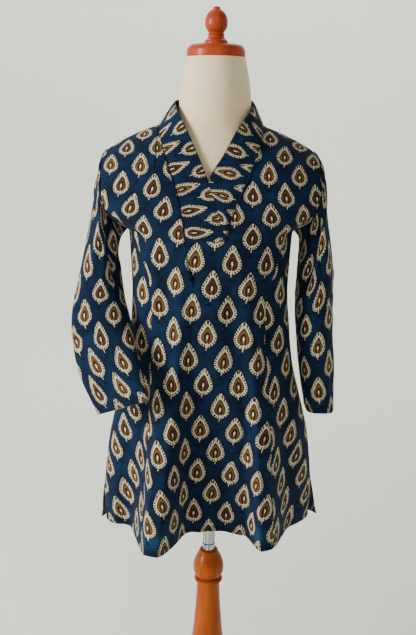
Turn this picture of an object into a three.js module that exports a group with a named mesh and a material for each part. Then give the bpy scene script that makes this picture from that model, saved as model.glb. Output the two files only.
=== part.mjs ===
// A straight cotton kurta with princess seams, set-in sleeves and a crossed band collar, on a dress form
// stand. Millimetres, +Z up. The origin is on the floor under the stand's pole, the front faces -Y, and
// +X is the wearer's left. Left and right in names are the wearer's.
import * as THREE from 'three';

// ---- driving dimensions of the garment ----
const CLOTH = 1.2; // wall of a single layer of cloth
const BAND_CLOTH = 1.8; // wall of the doubled neck band
const SEAM_GAP = 0.3; // between pieces that are sewn together
const BAND_SEAM_GAP = 0.54; // between the neckline and the band, whose edge is cut in by another tenth
const BAND_EDGE_IN = 0.1;
const SLEEVE_SEAM_GAP = 0.9; // between the armhole and the sleeve's head
const SIDE_FRONT_TIP_GAP = 0.6; // below the armhole, where the princess seam runs into it
const FOOT_GAP = 0.6; // below the band's straight foot, where the cloth curves across
const HEM = 553; // height of the hem above the floor
const SLIT_TOP = 650;
const SLIT_PART = 4; // how far front and back part at the foot of a slit
const UNDERARM = 1162;
const SHOULDER_TIP = 1306;
const SHOULDER_CREST = 1366; // where the two shoulder lines would meet over the neck
const SHOULDER_FALL = 0.00164; // fall of the shoulder line for each square millimetre outwards
const SHOULDER_ROUND = 110; // height over which chest and back round into the shoulder
const ARMHOLE_FLARE = 0.22; // how much wider the chest's section is than the armhole that cuts it
const ARMHOLE_FLARE_POWER = 1.2;
const ARM_STEPS = 12; // stretches from shoulder tip to underarm, on the front and on the back
const PRINCESS_STEP = 8; // the armhole step where the princess seam starts
const NORMAL_STEP = 0.5; // how far apart two places are that give the slope of the cloth
const EDGE_MARGIN = 1; // how near to a side or shoulder seam the cloth's wall lies along the seam plane

// The worn body of cloth, from the hem up. centre is its shift along X.
const BODY = [
  { height: 553, centre: -3, halfWidth: 211, front: 75, back: 88, squareness: 1.8 },
  { height: 610, centre: -3, halfWidth: 214, front: 80, back: 98, squareness: 1.85 },
  { height: 675, centre: -3, halfWidth: 209, front: 86, back: 110, squareness: 1.9 },
  { height: 750, centre: -3, halfWidth: 199, front: 92, back: 120, squareness: 2.0 },
  { height: 790, centre: -3, halfWidth: 190, front: 96, back: 123, squareness: 2.05 },
  { height: 840, centre: -3, halfWidth: 177, front: 100, back: 122, squareness: 2.1 },
  { height: 900, centre: -4, halfWidth: 163, front: 102, back: 114, squareness: 2.2 },
  { height: 975, centre: -4, halfWidth: 154, front: 103, back: 103, squareness: 2.25 },
  { height: 1050, centre: -5, halfWidth: 149, front: 112, back: 97, squareness: 2.3 },
  { height: 1110, centre: -5, halfWidth: 151, front: 121, back: 101, squareness: 2.35 },
  { height: 1162, centre: -5, halfWidth: 154, front: 120, back: 106, squareness: 2.4 },
  { height: 1222, centre: -6, halfWidth: 220, front: 107, back: 110, squareness: 2.5 },
  { height: 1265, centre: -6, halfWidth: 240, front: 96, back: 108, squareness: 2.5 },
  { height: 1303, centre: -7, halfWidth: 240, front: 90, back: 105, squareness: 2.5 },
  { height: 1366, centre: -8, halfWidth: 240, front: 84, back: 104, squareness: 2.5 },
];

// The folds that grow down to the hem. A hollow has a rise below zero. Distances run from the centre line.
const FOLDS = [
  { panel: 'front', top: 1090, atTop: -62, atHem: -112, rightReach: 48, leftReach: 76, rise: 91 },
  { panel: 'front', top: 1040, atTop: 84, atHem: 113, rightReach: 42, leftReach: 60, rise: 70 },
  { panel: 'front', top: 960, atTop: -4, atHem: 14, rightReach: 62, leftReach: 62, rise: -22 },
  { panel: 'front', top: 1130, atTop: -40, atHem: -38, rightReach: 24, leftReach: 26, rise: -12 },
  { panel: 'front', top: 900, atTop: -150, atHem: -168, rightReach: 26, leftReach: 24, rise: -14 },
  { panel: 'back', top: 1060, atTop: -70, atHem: -118, rightReach: 44, leftReach: 52, rise: 54 },
  { panel: 'back', top: 1000, atTop: -12, atHem: -22, rightReach: 46, leftReach: 44, rise: 38 },
  { panel: 'back', top: 1080, atTop: 58, atHem: 88, rightReach: 50, leftReach: 58, rise: 62 },
  { panel: 'back', top: 930, atTop: 20, atHem: 34, rightReach: 30, leftReach: 28, rise: -20 },
  { panel: 'back', top: 960, atTop: -52, atHem: -68, rightReach: 30, leftReach: 28, rise: -16 },
];
const FOLD_GROWTH = 1.4; // power with which a fold deepens towards the hem
const FOLD_NARROWING = 0.3; // how much narrower a fold is where it starts
const FOLD_CREST = 1.2; // above 1, a fold has a flat crest
const FOLD_EDGE_POWER = 6; // how late towards a side seam the folds fade out
const SIDE_SWING = [ // how far a side seam swings back, growing down to the hem
  { side: -1, swing: 0 },
  { side: 1, swing: 24 },
];
const SIDE_SWING_TOP = 900;
const SWING_POWER = 3;
const BACK_CORNER = [ // how far the back panel's corner stands out past the front's at the hem
  { side: -1, out: 11 },
  { side: 1, out: 20 },
];
const CORNER_GROWTH = 1.5;
const CORNER_WIDTH_POWER = 4;

// The armhole seen from the side, as an oval from shoulder tip (0) to underarm (180).
const ARMHOLE = [
  { angle: 0, out: 192 },
  { angle: 45, out: 200 },
  { angle: 90, out: 198 },
  { angle: 130, out: 187 },
  { angle: 155, out: 170 },
  { angle: 180, out: 154 },
];

// The princess seam, outwards from the centre line. Its top row is worked out on the armhole.
const PRINCESS = [
  { height: 553, out: 130 },
  { height: 676, out: 124 },
  { height: 860, out: 114 },
  { height: 1031, out: 107 },
  { height: 1110, out: 122 },
  { height: 1150, out: 140 },
  { height: 1180, out: 164 },
];
const PRINCESS_HEIGHTS = [
  553, 590, 630, 675, 725, 780, 835, 890, 945, 1000, 1050, 1100, 1145, 1180,
];

// The neck band's two halves, from the straight or pointed front end to the centre back. Each row gives the
// sewn edge and the free edge. onBody is 1 where the band lies in the front's own surface.
const RIGHT_BAND = [
  { sewn: [-51, -115, 1155], free: [16, -118, 1155], onBody: 1, raise: 0 },
  { sewn: [-58, -108, 1200], free: [8, -112, 1208], onBody: 1, raise: 0 },
  { sewn: [-69, -98, 1245], free: [-12, -98, 1262], onBody: 1, raise: 0 },
  { sewn: [-84, -82, 1285], free: [-30, -87, 1304], onBody: 0.5, raise: 0 },
  { sewn: [-95, -64, 1318], free: [-50, -67, 1345], onBody: 0, raise: 0 },
  { sewn: [-101, -36, 1340], free: [-68, -40, 1377], onBody: 0, raise: 0 },
  { sewn: [-103, -0.3, 1351], free: [-74, 0, 1393], onBody: 0, raise: 0 },
  { sewn: [-90, 42, 1346], free: [-68, 36, 1396], onBody: 0, raise: 0 },
  { sewn: [-64, 61, 1341], free: [-50, 58, 1397], onBody: 0, raise: 0 },
  { sewn: [-35, 71, 1338], free: [-28, 69, 1397], onBody: 0, raise: 0 },
  { sewn: [-4.3, 74, 1337], free: [-3.3, 72, 1397], onBody: 0, raise: 0 },
];
const LEFT_BAND = [
  { sewn: [23, -117, 1155], free: [18, -118, 1155], onBody: 1, raise: 2.2 },
  { sewn: [33, -110, 1200], free: [3, -112, 1218], onBody: 1, raise: 3 },
  { sewn: [52, -100, 1245], free: [-9, -100, 1260], onBody: 1, raise: 3 },
  { sewn: [69, -85, 1285], free: [16, -88, 1304], onBody: 0.5, raise: 1.3 },
  { sewn: [81, -66, 1318], free: [39, -69, 1345], onBody: 0, raise: 0 },
  { sewn: [87, -36, 1340], free: [63, -41, 1377], onBody: 0, raise: 0 },
  { sewn: [90, -0.3, 1351], free: [71, 0, 1393], onBody: 0, raise: 0 },
  { sewn: [80, 42, 1346], free: [63, 36, 1396], onBody: 0, raise: 0 },
  { sewn: [56, 61, 1341], free: [45, 58, 1397], onBody: 0, raise: 0 },
  { sewn: [27, 71, 1338], free: [22, 69, 1397], onBody: 0, raise: 0 },
  { sewn: [-3.7, 74, 1337], free: [-2.7, 72, 1397], onBody: 0, raise: 0 },
];
const BAND_FRONT_ROWS = 6; // the row at the shoulder seam, where the back panel takes over
const BAND_COLUMNS = 4;
const BAND_RAISED_BY = 0.4; // share of the band's width over which the upper half climbs the lower
const SHOULDER_COLUMNS = 4;
const BAND_FOOT_COLUMNS = 2;
const BACK_SHOULDER_COLUMNS = 5;
const BACK_HEIGHTS = [553, 595, 645, 700, 755, 815, 875, 935, 995, 1055, 1110];
const LEAN_FROM = 950; // above this height the columns lean towards their places on the top edge

// The sleeves, from just below the armhole to the cuff. deep is half the size across from outer to inner,
// bow is how far the front and back of a section stand further out than its middle, and a section with a
// higher square has straighter sides.
const RIGHT_SLEEVE = [
  { outer: [-213, -1, 1262], inner: [-175, 0, 1142], deep: 63, bow: 23, square: 2.2 },
  { outer: [-223, -4, 1215], inner: [-180, -4, 1114], deep: 65, bow: 9, square: 2.2 },
  { outer: [-236, -8, 1160], inner: [-175, -8, 1087], deep: 61, bow: 3, square: 2.2 },
  { outer: [-247, -14, 1105], inner: [-171, -16, 1056], deep: 55, bow: 0, square: 2.2 },
  { outer: [-257, -22, 1053], inner: [-166, -26, 1028], deep: 47, bow: 0, square: 2.2 },
  { outer: [-265, -34, 1003], inner: [-157, -48, 1003], deep: 38, bow: 0, square: 2.3 },
  { outer: [-262, -54, 952], inner: [-142, -92, 962], deep: 28, bow: 0, square: 2.5 },
  { outer: [-243, -83, 893], inner: [-127, -131, 918], deep: 17, bow: 0, square: 3.2 },
  { outer: [-210, -110, 825], inner: [-111, -161, 873], deep: 7, bow: 0, square: 5 },
];
const LEFT_SLEEVE = [
  { outer: [200, 0, 1262], inner: [164, 0, 1142], deep: 63, bow: 14, square: 2.2 },
  { outer: [209, 0, 1215], inner: [163, 2, 1106], deep: 65, bow: 8, square: 2.2 },
  { outer: [219, 0, 1160], inner: [162, 2, 1072], deep: 63, bow: 3, square: 2.2 },
  { outer: [228, 2, 1105], inner: [161, 4, 1036], deep: 61, bow: 0, square: 2.2 },
  { outer: [233, 4, 1040], inner: [162, 6, 998], deep: 58, bow: 0, square: 2.2 },
  { outer: [236, 6, 975], inner: [166, 8, 952], deep: 55, bow: 0, square: 2.3 },
  { outer: [239, 8, 915], inner: [171, 9, 906], deep: 51, bow: 0, square: 2.5 },
  { outer: [242, 8, 857], inner: [179, 9, 855], deep: 47, bow: 0, square: 2.9 },
  { outer: [245, 8, 803], inner: [189, 8, 803], deep: 44, bow: 0, square: 3.6 },
];
const HEAD_PULL = 0.6; // how strongly a sleeve's head turns in towards the armhole's middle

// ---- driving dimensions of the stand ----
const SHAPE_SEGMENTS = 28;
const FORM_BOTTOM = 700;
const FORM_TOP = 1470;
const FORM = [
  { height: 700, halfWidth: 138, front: 58, back: 84 },
  { height: 760, halfWidth: 145, front: 68, back: 92 },
  { height: 830, halfWidth: 141, front: 76, back: 92 },
  { height: 900, halfWidth: 130, front: 79, back: 85 },
  { height: 980, halfWidth: 114, front: 80, back: 76 },
  { height: 1030, halfWidth: 112, front: 84, back: 73 },
  { height: 1080, halfWidth: 121, front: 96, back: 79 },
  { height: 1130, halfWidth: 134, front: 107, back: 89 },
  { height: 1180, halfWidth: 140, front: 104, back: 97 },
  { height: 1230, halfWidth: 145, front: 94, back: 99 },
  { height: 1268, halfWidth: 147, front: 86, back: 94 },
  { height: 1295, halfWidth: 138, front: 79, back: 85 },
  { height: 1315, halfWidth: 118, front: 73, back: 75 },
  { height: 1333, halfWidth: 95, front: 68, back: 67 },
  { height: 1352, halfWidth: 76, front: 64, back: 62 },
  { height: 1375, halfWidth: 67, front: 64, back: 62 },
  { height: 1400, halfWidth: 65, front: 65, back: 63 },
  { height: 1426, halfWidth: 62, front: 62, back: 62 },
  { height: 1454, halfWidth: 56.5, front: 56.5, back: 56.5 },
  { height: 1470, halfWidth: 53.5, front: 53.5, back: 53.5 },
];
const CAP = { radius: 52.8, bottom: 1470.3, top: 1491.5, edge: 13 };
const FINIAL = [ // radius and height, from its foot to its tip
  { radius: 21.8, height: 1491.8 },
  { radius: 21.2, height: 1496 },
  { radius: 14.2, height: 1506 },
  { radius: 15, height: 1508.5 },
  { radius: 13.2, height: 1511 },
  { radius: 17.5, height: 1517 },
  { radius: 20.7, height: 1529 },
  { radius: 17.5, height: 1541 },
  { radius: 9, height: 1550 },
  { radius: 3.5, height: 1553 },
];
const FINIAL_TIP = 1556;
const UPPER_TUBE = { radius: 12.25, bottom: 498.3, top: 699.7 };
const LOWER_TUBE = { radius: 13.2, bottom: 483.3, top: 498 };
const BALL = [
  { radius: 17, height: 418.3 },
  { radius: 26, height: 423 },
  { radius: 31.5, height: 435 },
  { radius: 32, height: 447 },
  { radius: 28.5, height: 461 },
  { radius: 23, height: 472 },
  { radius: 19.5, height: 480 },
  { radius: 16, height: 483 },
];
const RING = [
  { radius: 24, height: 410.3 },
  { radius: 29.6, height: 412.5 },
  { radius: 29.6, height: 415.5 },
  { radius: 22, height: 418 },
];
const POST = [
  { radius: 36, height: 42.3 },
  { radius: 46, height: 52 },
  { radius: 44, height: 66 },
  { radius: 31, height: 84 },
  { radius: 27, height: 104 },
  { radius: 33, height: 150 },
  { radius: 38, height: 205 },
  { radius: 36.5, height: 245 },
  { radius: 32, height: 284 },
  { radius: 28, height: 330 },
  { radius: 25, height: 375 },
  { radius: 24, height: 400 },
  { radius: 24, height: 410 },
];
const BASE = [
  { radius: 190, height: 0 },
  { radius: 196, height: 3 },
  { radius: 198, height: 12 },
  { radius: 192, height: 22 },
  { radius: 176, height: 27 },
  { radius: 70, height: 32 },
  { radius: 56, height: 38 },
  { radius: 50, height: 42 },
];

// ---- materials ----
function clothMaterial() {
  return new THREE.MeshStandardMaterial({ color: 0x123e63, roughness: 0.9, metalness: 0 });
}

function formMaterial() {
  return new THREE.MeshStandardMaterial({ color: 0xe3d3bb, roughness: 0.75, metalness: 0 });
}

function woodMaterial() {
  return new THREE.MeshStandardMaterial({ color: 0x8a3312, roughness: 0.25, metalness: 0 });
}

function chromeMaterial() {
  return new THREE.MeshStandardMaterial({ color: 0xc8cacb, roughness: 0.15, metalness: 1 });
}

// ---- small sums ----
function clamp(value, low, high) {
  return Math.min(Math.max(value, low), high);
}

function mix(from, to, share) {
  return from + (to - from) * share;
}

function smooth(share) {
  const inside = clamp(share, 0, 1);
  return inside * inside * (3 - 2 * inside);
}

// The slope of a table's column at one row, with no overshoot between rows.
function slopeAt(rows, key, column, row) {
  if (row === 0 || row === rows.length - 1) {
    return 0;
  }
  const before = (rows[row][column] - rows[row - 1][column]) / (rows[row][key] - rows[row - 1][key]);
  const after = (rows[row + 1][column] - rows[row][column]) / (rows[row + 1][key] - rows[row][key]);
  return before * after > 0 ? 2 * before * after / (before + after) : 0;
}

// A smooth curve through one column of a table whose rows are sorted by key.
function valueAt(rows, key, column, place) {
  const at = clamp(place, rows[0][key], rows[rows.length - 1][key]);
  let row = 0;
  while (row < rows.length - 2 && at > rows[row + 1][key]) {
    row += 1;
  }
  const span = rows[row + 1][key] - rows[row][key];
  const share = (at - rows[row][key]) / span;
  const bend = slopeAt(rows, key, column, row) * span;
  const nextBend = slopeAt(rows, key, column, row + 1) * span;
  const squared = share * share;
  const cubed = squared * share;
  return (2 * cubed - 3 * squared + 1) * rows[row][column] + (cubed - 2 * squared + share) * bend
    + (3 * squared - 2 * cubed) * rows[row + 1][column] + (cubed - squared) * nextBend;
}

// ---- the garment's surface ----
function centreAt(height) {
  return valueAt(BODY, 'height', 'centre', height);
}

function shoulderHeight(out) {
  return SHOULDER_CREST - SHOULDER_FALL * out * out;
}

function armholeOut(height) {
  const middle = (SHOULDER_TIP + UNDERARM) / 2;
  const rise = (height - middle) / (SHOULDER_TIP - middle);
  const angle = Math.acos(clamp(rise, -1, 1)) * 180 / Math.PI;
  return valueAt(ARMHOLE, 'angle', 'out', angle);
}

// Half the width of the section that the armhole cuts, or of the body below it.
function halfWidthAt(height) {
  if (height <= UNDERARM) {
    return valueAt(BODY, 'height', 'halfWidth', height);
  }
  const share = clamp(2 * (height - UNDERARM) / (SHOULDER_TIP - UNDERARM), 0, 1);
  return armholeOut(height) * (1 + ARMHOLE_FLARE * share ** ARMHOLE_FLARE_POWER);
}

function edgeOut(height) {
  return height <= UNDERARM ? halfWidthAt(height) : armholeOut(height);
}

function foldRise(panel, out, height) {
  let total = 0;
  for (const fold of FOLDS) {
    const drop = clamp((fold.top - height) / (fold.top - HEM), 0, 1);
    const middle = mix(fold.atTop, fold.atHem, drop);
    const reach = (out < middle ? fold.rightReach : fold.leftReach) * mix(1 - FOLD_NARROWING, 1, drop);
    const near = 1 - Math.abs(out - middle) / reach;
    if (fold.panel === panel && near > 0) {
      total += fold.rise * drop ** FOLD_GROWTH * smooth(FOLD_CREST * near);
    }
  }
  return total;
}

// How far the cloth lies in front of or behind the seam plane.
function depthAt(panel, out, height) {
  const across = clamp(Math.abs(out) / halfWidthAt(height), 0, 1);
  const squareness = valueAt(BODY, 'height', 'squareness', height);
  const section = (1 - across ** squareness) ** (1 / squareness);
  const rounding = clamp((shoulderHeight(out) - height) / SHOULDER_ROUND, 0, 1);
  const closing = Math.sqrt(1 - (1 - rounding) ** 2);
  const folds = foldRise(panel, out, height) * (1 - across ** FOLD_EDGE_POWER);
  return Math.max(valueAt(BODY, 'height', panel, height) * section * closing + folds, 0);
}

function seamSwing(out, height) {
  const row = SIDE_SWING[out < 0 ? 0 : 1];
  const drop = clamp((SIDE_SWING_TOP - height) / (SIDE_SWING_TOP - HEM), 0, 1);
  const across = clamp(Math.abs(out) / halfWidthAt(height), 0, 1);
  return row.swing * smooth(drop) * across ** SWING_POWER;
}

function slitShare(height) {
  return clamp((SLIT_TOP - height) / (SLIT_TOP - HEM), 0, 1);
}

function bodyPoint(panel, out, height) {
  const facing = panel === 'front' ? -1 : 1;
  const apart = SEAM_GAP / 2 + SLIT_PART * slitShare(height);
  const depth = Math.max(depthAt(panel, out, height), apart);
  return new THREE.Vector3(centreAt(height) + out, facing * depth + seamSwing(out, height), height);
}

// The outward direction of the cloth. On a side or shoulder seam it stays in the seam plane.
function bodyNormal(panel, out, height) {
  const side = Math.sign(out) || 1;
  if (height < UNDERARM + EDGE_MARGIN && Math.abs(out) > edgeOut(height) - EDGE_MARGIN) {
    return new THREE.Vector3(side, 0, 0);
  }
  if (height > shoulderHeight(out) - EDGE_MARGIN) {
    return new THREE.Vector3(0, 0, 1);
  }
  const place = bodyPoint(panel, out, height);
  const along = bodyPoint(panel, out - side * NORMAL_STEP, height).sub(place);
  const down = bodyPoint(panel, out, height - NORMAL_STEP).sub(place);
  const normal = along.cross(down).normalize();
  const outwards = panel === 'front' ? -1 : 1;
  return normal.y * outwards < 0 ? normal.negate() : normal;
}

// The armhole seam: step 0 is the shoulder tip and the last step is the underarm.
function armholePlace(step) {
  const angle = Math.PI * step / ARM_STEPS;
  const middle = (SHOULDER_TIP + UNDERARM) / 2;
  const height = middle + (SHOULDER_TIP - middle) * Math.cos(angle);
  return { height, out: valueAt(ARMHOLE, 'angle', 'out', angle * 180 / Math.PI) };
}

function princessRows() {
  const top = armholePlace(PRINCESS_STEP);
  return [...PRINCESS, top];
}

function princessOut(height) {
  return valueAt(princessRows(), 'height', 'out', height);
}

// ---- walls ----
function faceNormals(rows, closed) {
  const normals = rows.map((row) => row.map(() => new THREE.Vector3()));
  const columns = rows[0].length;
  for (let i = 0; i < rows.length - 1; i += 1) {
    for (let j = 0; j < (closed ? columns : columns - 1); j += 1) {
      const next = (j + 1) % columns;
      const across = rows[i + 1][next].clone().sub(rows[i][j]);
      const other = rows[i + 1][j].clone().sub(rows[i][next]);
      const normal = across.cross(other);
      for (const [a, b] of [[i, j], [i, next], [i + 1, j], [i + 1, next]]) {
        normals[a][b].add(normal);
      }
    }
  }
  return normals.map((row) => row.map((normal) => normal.normalize()));
}

function signedVolume(points, faces) {
  let volume = 0;
  for (const [a, b, c] of faces) {
    volume += points[a].dot(points[b].clone().cross(points[c])) / 6;
  }
  return volume;
}

function closedGeometry(points, faces) {
  const outwards = signedVolume(points, faces) > 0;
  const corners = faces.flatMap(([a, b, c]) => (outwards ? [a, b, c] : [a, c, b]));
  const geometry = new THREE.BufferGeometry();
  const numbers = points.flatMap((p) => [p.x, p.y, p.z]);
  geometry.setAttribute('position', new THREE.Float32BufferAttribute(numbers, 3));
  geometry.setIndex(corners);
  geometry.computeVertexNormals();
  return geometry;
}

// A wall of cloth behind a grid of points, with its four rims, or two rims round a closed tube.
function wallGeometry(rows, normals, thickness, closed) {
  const columns = rows[0].length;
  const last = rows.length - 1;
  const outer = rows.flat();
  const behind = (point, normal) => point.clone().addScaledVector(normal, -thickness);
  const inner = rows.flatMap((row, i) => row.map((point, j) => behind(point, normals[i][j])));
  const points = [...outer, ...inner];
  const shift = outer.length;
  const faces = [];
  const quad = (a, b, c, d) => faces.push([a, b, c], [a, c, d]);
  for (let i = 0; i < last; i += 1) {
    for (let j = 0; j < (closed ? columns : columns - 1); j += 1) {
      const a = i * columns + j;
      const b = i * columns + (j + 1) % columns;
      const c = b + columns;
      const d = a + columns;
      quad(a, b, c, d);
      quad(shift + a, shift + d, shift + c, shift + b);
    }
  }
  for (let j = 0; j < (closed ? columns : columns - 1); j += 1) {
    const next = (j + 1) % columns;
    quad(j, shift + j, shift + next, next);
    const top = last * columns;
    quad(top + j, top + next, shift + top + next, shift + top + j);
  }
  for (let i = 0; i < (closed ? 0 : last); i += 1) {
    const left = i * columns;
    const right = left + columns - 1;
    quad(left, left + columns, shift + left + columns, shift + left);
    quad(right, shift + right, shift + right + columns, right + columns);
  }
  return closedGeometry(points, faces);
}

function namedMesh(name, geometry, material) {
  const mesh = new THREE.Mesh(geometry, material);
  mesh.name = name;
  return mesh;
}

// A panel of the body from columns of places on its surface, each place with out and height.
function panelMesh(name, panel, places, shifts) {
  const rows = places.map((row, i) => row.map((place, j) => {
    const point = bodyPoint(panel, place.out, place.height);
    return shifts[i][j] ? point.add(shifts[i][j]) : point;
  }));
  const normals = places.map((row) => row.map((place) => bodyNormal(panel, place.out, place.height)));
  return namedMesh(name, wallGeometry(rows, normals, CLOTH, false), clothMaterial());
}

// ---- the neck band ----
function bandPoint(row, share) {
  const sewn = new THREE.Vector3(...row.sewn);
  const point = sewn.clone().lerp(new THREE.Vector3(...row.free), share);
  const out = point.x - centreAt(point.z);
  const onBody = -depthAt('front', out, point.z);
  point.y = mix(point.y, onBody, row.onBody);
  point.y -= row.raise * clamp(share / BAND_RAISED_BY, 0, 1);
  return point;
}

// From the band's free edge towards the panel that it is sewn to.
function bandOutwards(row) {
  return bandPoint(row, 0).sub(bandPoint(row, 1)).normalize();
}

function bandSeamPlace(row, panel) {
  const [x, , height] = row.sewn;
  const out = x - centreAt(height);
  const onSeam = bandPoint(row, 0).addScaledVector(bandOutwards(row), BAND_SEAM_GAP);
  const shift = onSeam.sub(bodyPoint(panel, out, height));
  return { out, height, shift };
}

function bandMesh(name, band) {
  const rows = band.map((row) => {
    const edge = bandOutwards(row).multiplyScalar(-BAND_EDGE_IN);
    const points = [];
    for (let column = 0; column <= BAND_COLUMNS; column += 1) {
      const point = bandPoint(row, column / BAND_COLUMNS);
      points.push(column === 0 ? point.add(edge) : point);
    }
    return points;
  });
  const normals = faceNormals(rows, false);
  const fromAxis = rows[0][0].clone().setZ(0);
  if (normals[0][0].dot(fromAxis) < 0) {
    normals.forEach((row) => row.forEach((normal) => normal.negate()));
  }
  band.forEach((row, i) => {
    const [x, , height] = row.sewn;
    normals[i][0] = bodyNormal(i < BAND_FRONT_ROWS ? 'front' : 'back', x - centreAt(height), height);
  });
  return namedMesh(name, wallGeometry(rows, normals, BAND_CLOTH, false), clothMaterial());
}

// ---- the body's panels ----
function shoulderPlaces(side, tip, neck, columns) {
  const places = [];
  for (let step = 0; step < columns; step += 1) {
    const out = mix(tip, neck, step / columns);
    places.push({ out: side * out, height: step === 0 ? SHOULDER_TIP : shoulderHeight(out) });
  }
  return places;
}

// The top edge of the centre front, from the right shoulder tip to the left one.
function frontTopEdge() {
  const tip = armholePlace(0).out;
  const rightSeam = RIGHT_BAND.slice(0, BAND_FRONT_ROWS + 1).map((row) => bandSeamPlace(row, 'front'));
  const leftSeam = LEFT_BAND.slice(0, BAND_FRONT_ROWS + 1).map((row) => bandSeamPlace(row, 'front'));
  const rightNeck = -rightSeam[BAND_FRONT_ROWS].out;
  const leftNeck = leftSeam[BAND_FRONT_ROWS].out;
  const foot = [];
  for (let step = 1; step < BAND_FOOT_COLUMNS; step += 1) {
    const share = step / BAND_FOOT_COLUMNS;
    foot.push({
      out: mix(rightSeam[0].out, leftSeam[0].out, share),
      height: mix(rightSeam[0].height, leftSeam[0].height, share),
    });
  }
  const below = new THREE.Vector3(0, 0, -FOOT_GAP);
  for (const place of [rightSeam[0], ...foot, leftSeam[0]]) {
    place.shift = (place.shift || new THREE.Vector3()).clone().add(below);
  }
  return [
    ...shoulderPlaces(-1, tip, rightNeck, SHOULDER_COLUMNS),
    ...rightSeam.slice().reverse(),
    ...foot,
    ...leftSeam,
    ...shoulderPlaces(1, tip, leftNeck, SHOULDER_COLUMNS).reverse(),
  ];
}

// Heights of the rows on a panel's outer edge: seam first, then the armhole up to the shoulder tip.
function edgeHeights(seamHeights, fromStep) {
  const heights = seamHeights.slice();
  for (let step = fromStep; step >= 0; step -= 1) {
    heights.push(armholePlace(step).height);
  }
  return heights;
}

// Places of a panel that runs from one outer edge to the other, under a given top edge.
function spreadPlaces(topEdge, heights, outerOut, spread) {
  const columns = topEdge.length - 1;
  const span = heights[heights.length - 1] - heights[0];
  return heights.map((edgeHeight, i) => topEdge.map((top, j) => {
    if (j === 0 || j === columns) {
      return { out: (j === 0 ? -1 : 1) * outerOut(edgeHeight), height: edgeHeight };
    }
    const share = (edgeHeight - heights[0]) / span;
    const height = mix(HEM, top.height, share);
    const atTop = top.out / outerOut(Math.min(top.height, SHOULDER_TIP));
    const atHem = spread(2 * j / columns - 1);
    const lean = smooth((height - LEAN_FROM) / (top.height - LEAN_FROM));
    const edge = outerOut(Math.min(height, SHOULDER_TIP));
    const inShare = mix(atHem, atTop, lean) * edge;
    const straight = mix(atHem * edge, top.out, lean);
    const out = mix(straight, inShare, Math.abs(atTop));
    return i === heights.length - 1 ? { out: top.out, height: top.height } : { out, height };
  }));
}

function topShifts(places, topEdge) {
  const last = places.length - 1;
  return places.map((row, i) => row.map((place, j) => (i === last ? topEdge[j].shift : undefined)));
}

function centreFrontOut(height) {
  const seam = armholePlace(PRINCESS_STEP).height;
  return height <= seam ? princessOut(height) - SEAM_GAP / 2 : armholeOut(height);
}

function buildCentreFront() {
  const topEdge = frontTopEdge();
  const heights = edgeHeights(PRINCESS_HEIGHTS, PRINCESS_STEP);
  const places = spreadPlaces(topEdge, heights, centreFrontOut, (share) => share);
  return panelMesh('centre_front', 'front', places, topShifts(places, topEdge));
}

function buildSideFront(name, side) {
  const columns = ARM_STEPS - PRINCESS_STEP;
  const top = armholePlace(PRINCESS_STEP).height;
  const heights = [...PRINCESS_HEIGHTS, top];
  const places = heights.map((edgeHeight, i) => {
    const row = [];
    for (let column = 0; column <= columns; column += 1) {
      const end = armholePlace(PRINCESS_STEP + column);
      const share = (edgeHeight - HEM) / (top - HEM);
      const height = mix(HEM, end.height, share);
      const inner = princessOut(height) + SEAM_GAP / 2;
      const bend = Math.sin(column / columns * Math.PI / 2);
      const lean = smooth((height - LEAN_FROM) / (end.height - LEAN_FROM));
      const across = column === 0 ? 0 : mix(bend, 1, lean);
      const out = i === heights.length - 1 ? end.out : mix(inner, edgeOut(height), across);
      row.push({ out: side * out, height });
    }
    return row;
  });
  const shifts = places.map((row) => row.map(() => undefined));
  shifts[heights.length - 1][0] = new THREE.Vector3(0, 0, -SIDE_FRONT_TIP_GAP);
  return panelMesh(name, 'front', places, shifts);
}

// The back's top edge: shoulder, neckline, shoulder.
function backTopEdge() {
  const tip = armholePlace(0).out;
  const rightSeam = RIGHT_BAND.slice(BAND_FRONT_ROWS).map((row) => bandSeamPlace(row, 'back'));
  const leftSeam = LEFT_BAND.slice(BAND_FRONT_ROWS, -1).map((row) => bandSeamPlace(row, 'back'));
  return [
    ...shoulderPlaces(-1, tip, -rightSeam[0].out, BACK_SHOULDER_COLUMNS),
    ...rightSeam,
    ...leftSeam.slice().reverse(),
    ...shoulderPlaces(1, tip, leftSeam[0].out, BACK_SHOULDER_COLUMNS).reverse(),
  ];
}

function buildBack() {
  const topEdge = backTopEdge();
  const heights = edgeHeights(BACK_HEIGHTS, ARM_STEPS);
  const places = spreadPlaces(topEdge, heights, edgeOut, (share) => Math.sin(share * Math.PI / 2));
  const shifts = topShifts(places, topEdge);
  places.forEach((row, i) => row.forEach((place, j) => {
    const corner = BACK_CORNER[place.out < 0 ? 0 : 1].out * slitShare(place.height) ** CORNER_GROWTH;
    const across = clamp(Math.abs(place.out) / edgeOut(place.height), 0, 1);
    if (corner > 0) {
      const outwards = Math.sign(place.out) * corner * across ** CORNER_WIDTH_POWER;
      shifts[i][j] = new THREE.Vector3(outwards, 0, 0);
    }
  }));
  return panelMesh('back', 'back', places, shifts);
}

// ---- sleeves ----
function armholeRing(side) {
  const ring = [];
  for (let step = 0; step < 2 * ARM_STEPS; step += 1) {
    const panel = step <= ARM_STEPS ? 'front' : 'back';
    const place = armholePlace(step <= ARM_STEPS ? step : 2 * ARM_STEPS - step);
    const point = bodyPoint(panel, side * place.out, place.height);
    const onSeamPlane = step === 0 || step === ARM_STEPS;
    const normal = bodyNormal(panel, side * place.out, place.height);
    point.y = onSeamPlane ? 0 : point.y;
    ring.push({ point, normal });
  }
  return ring;
}

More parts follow.
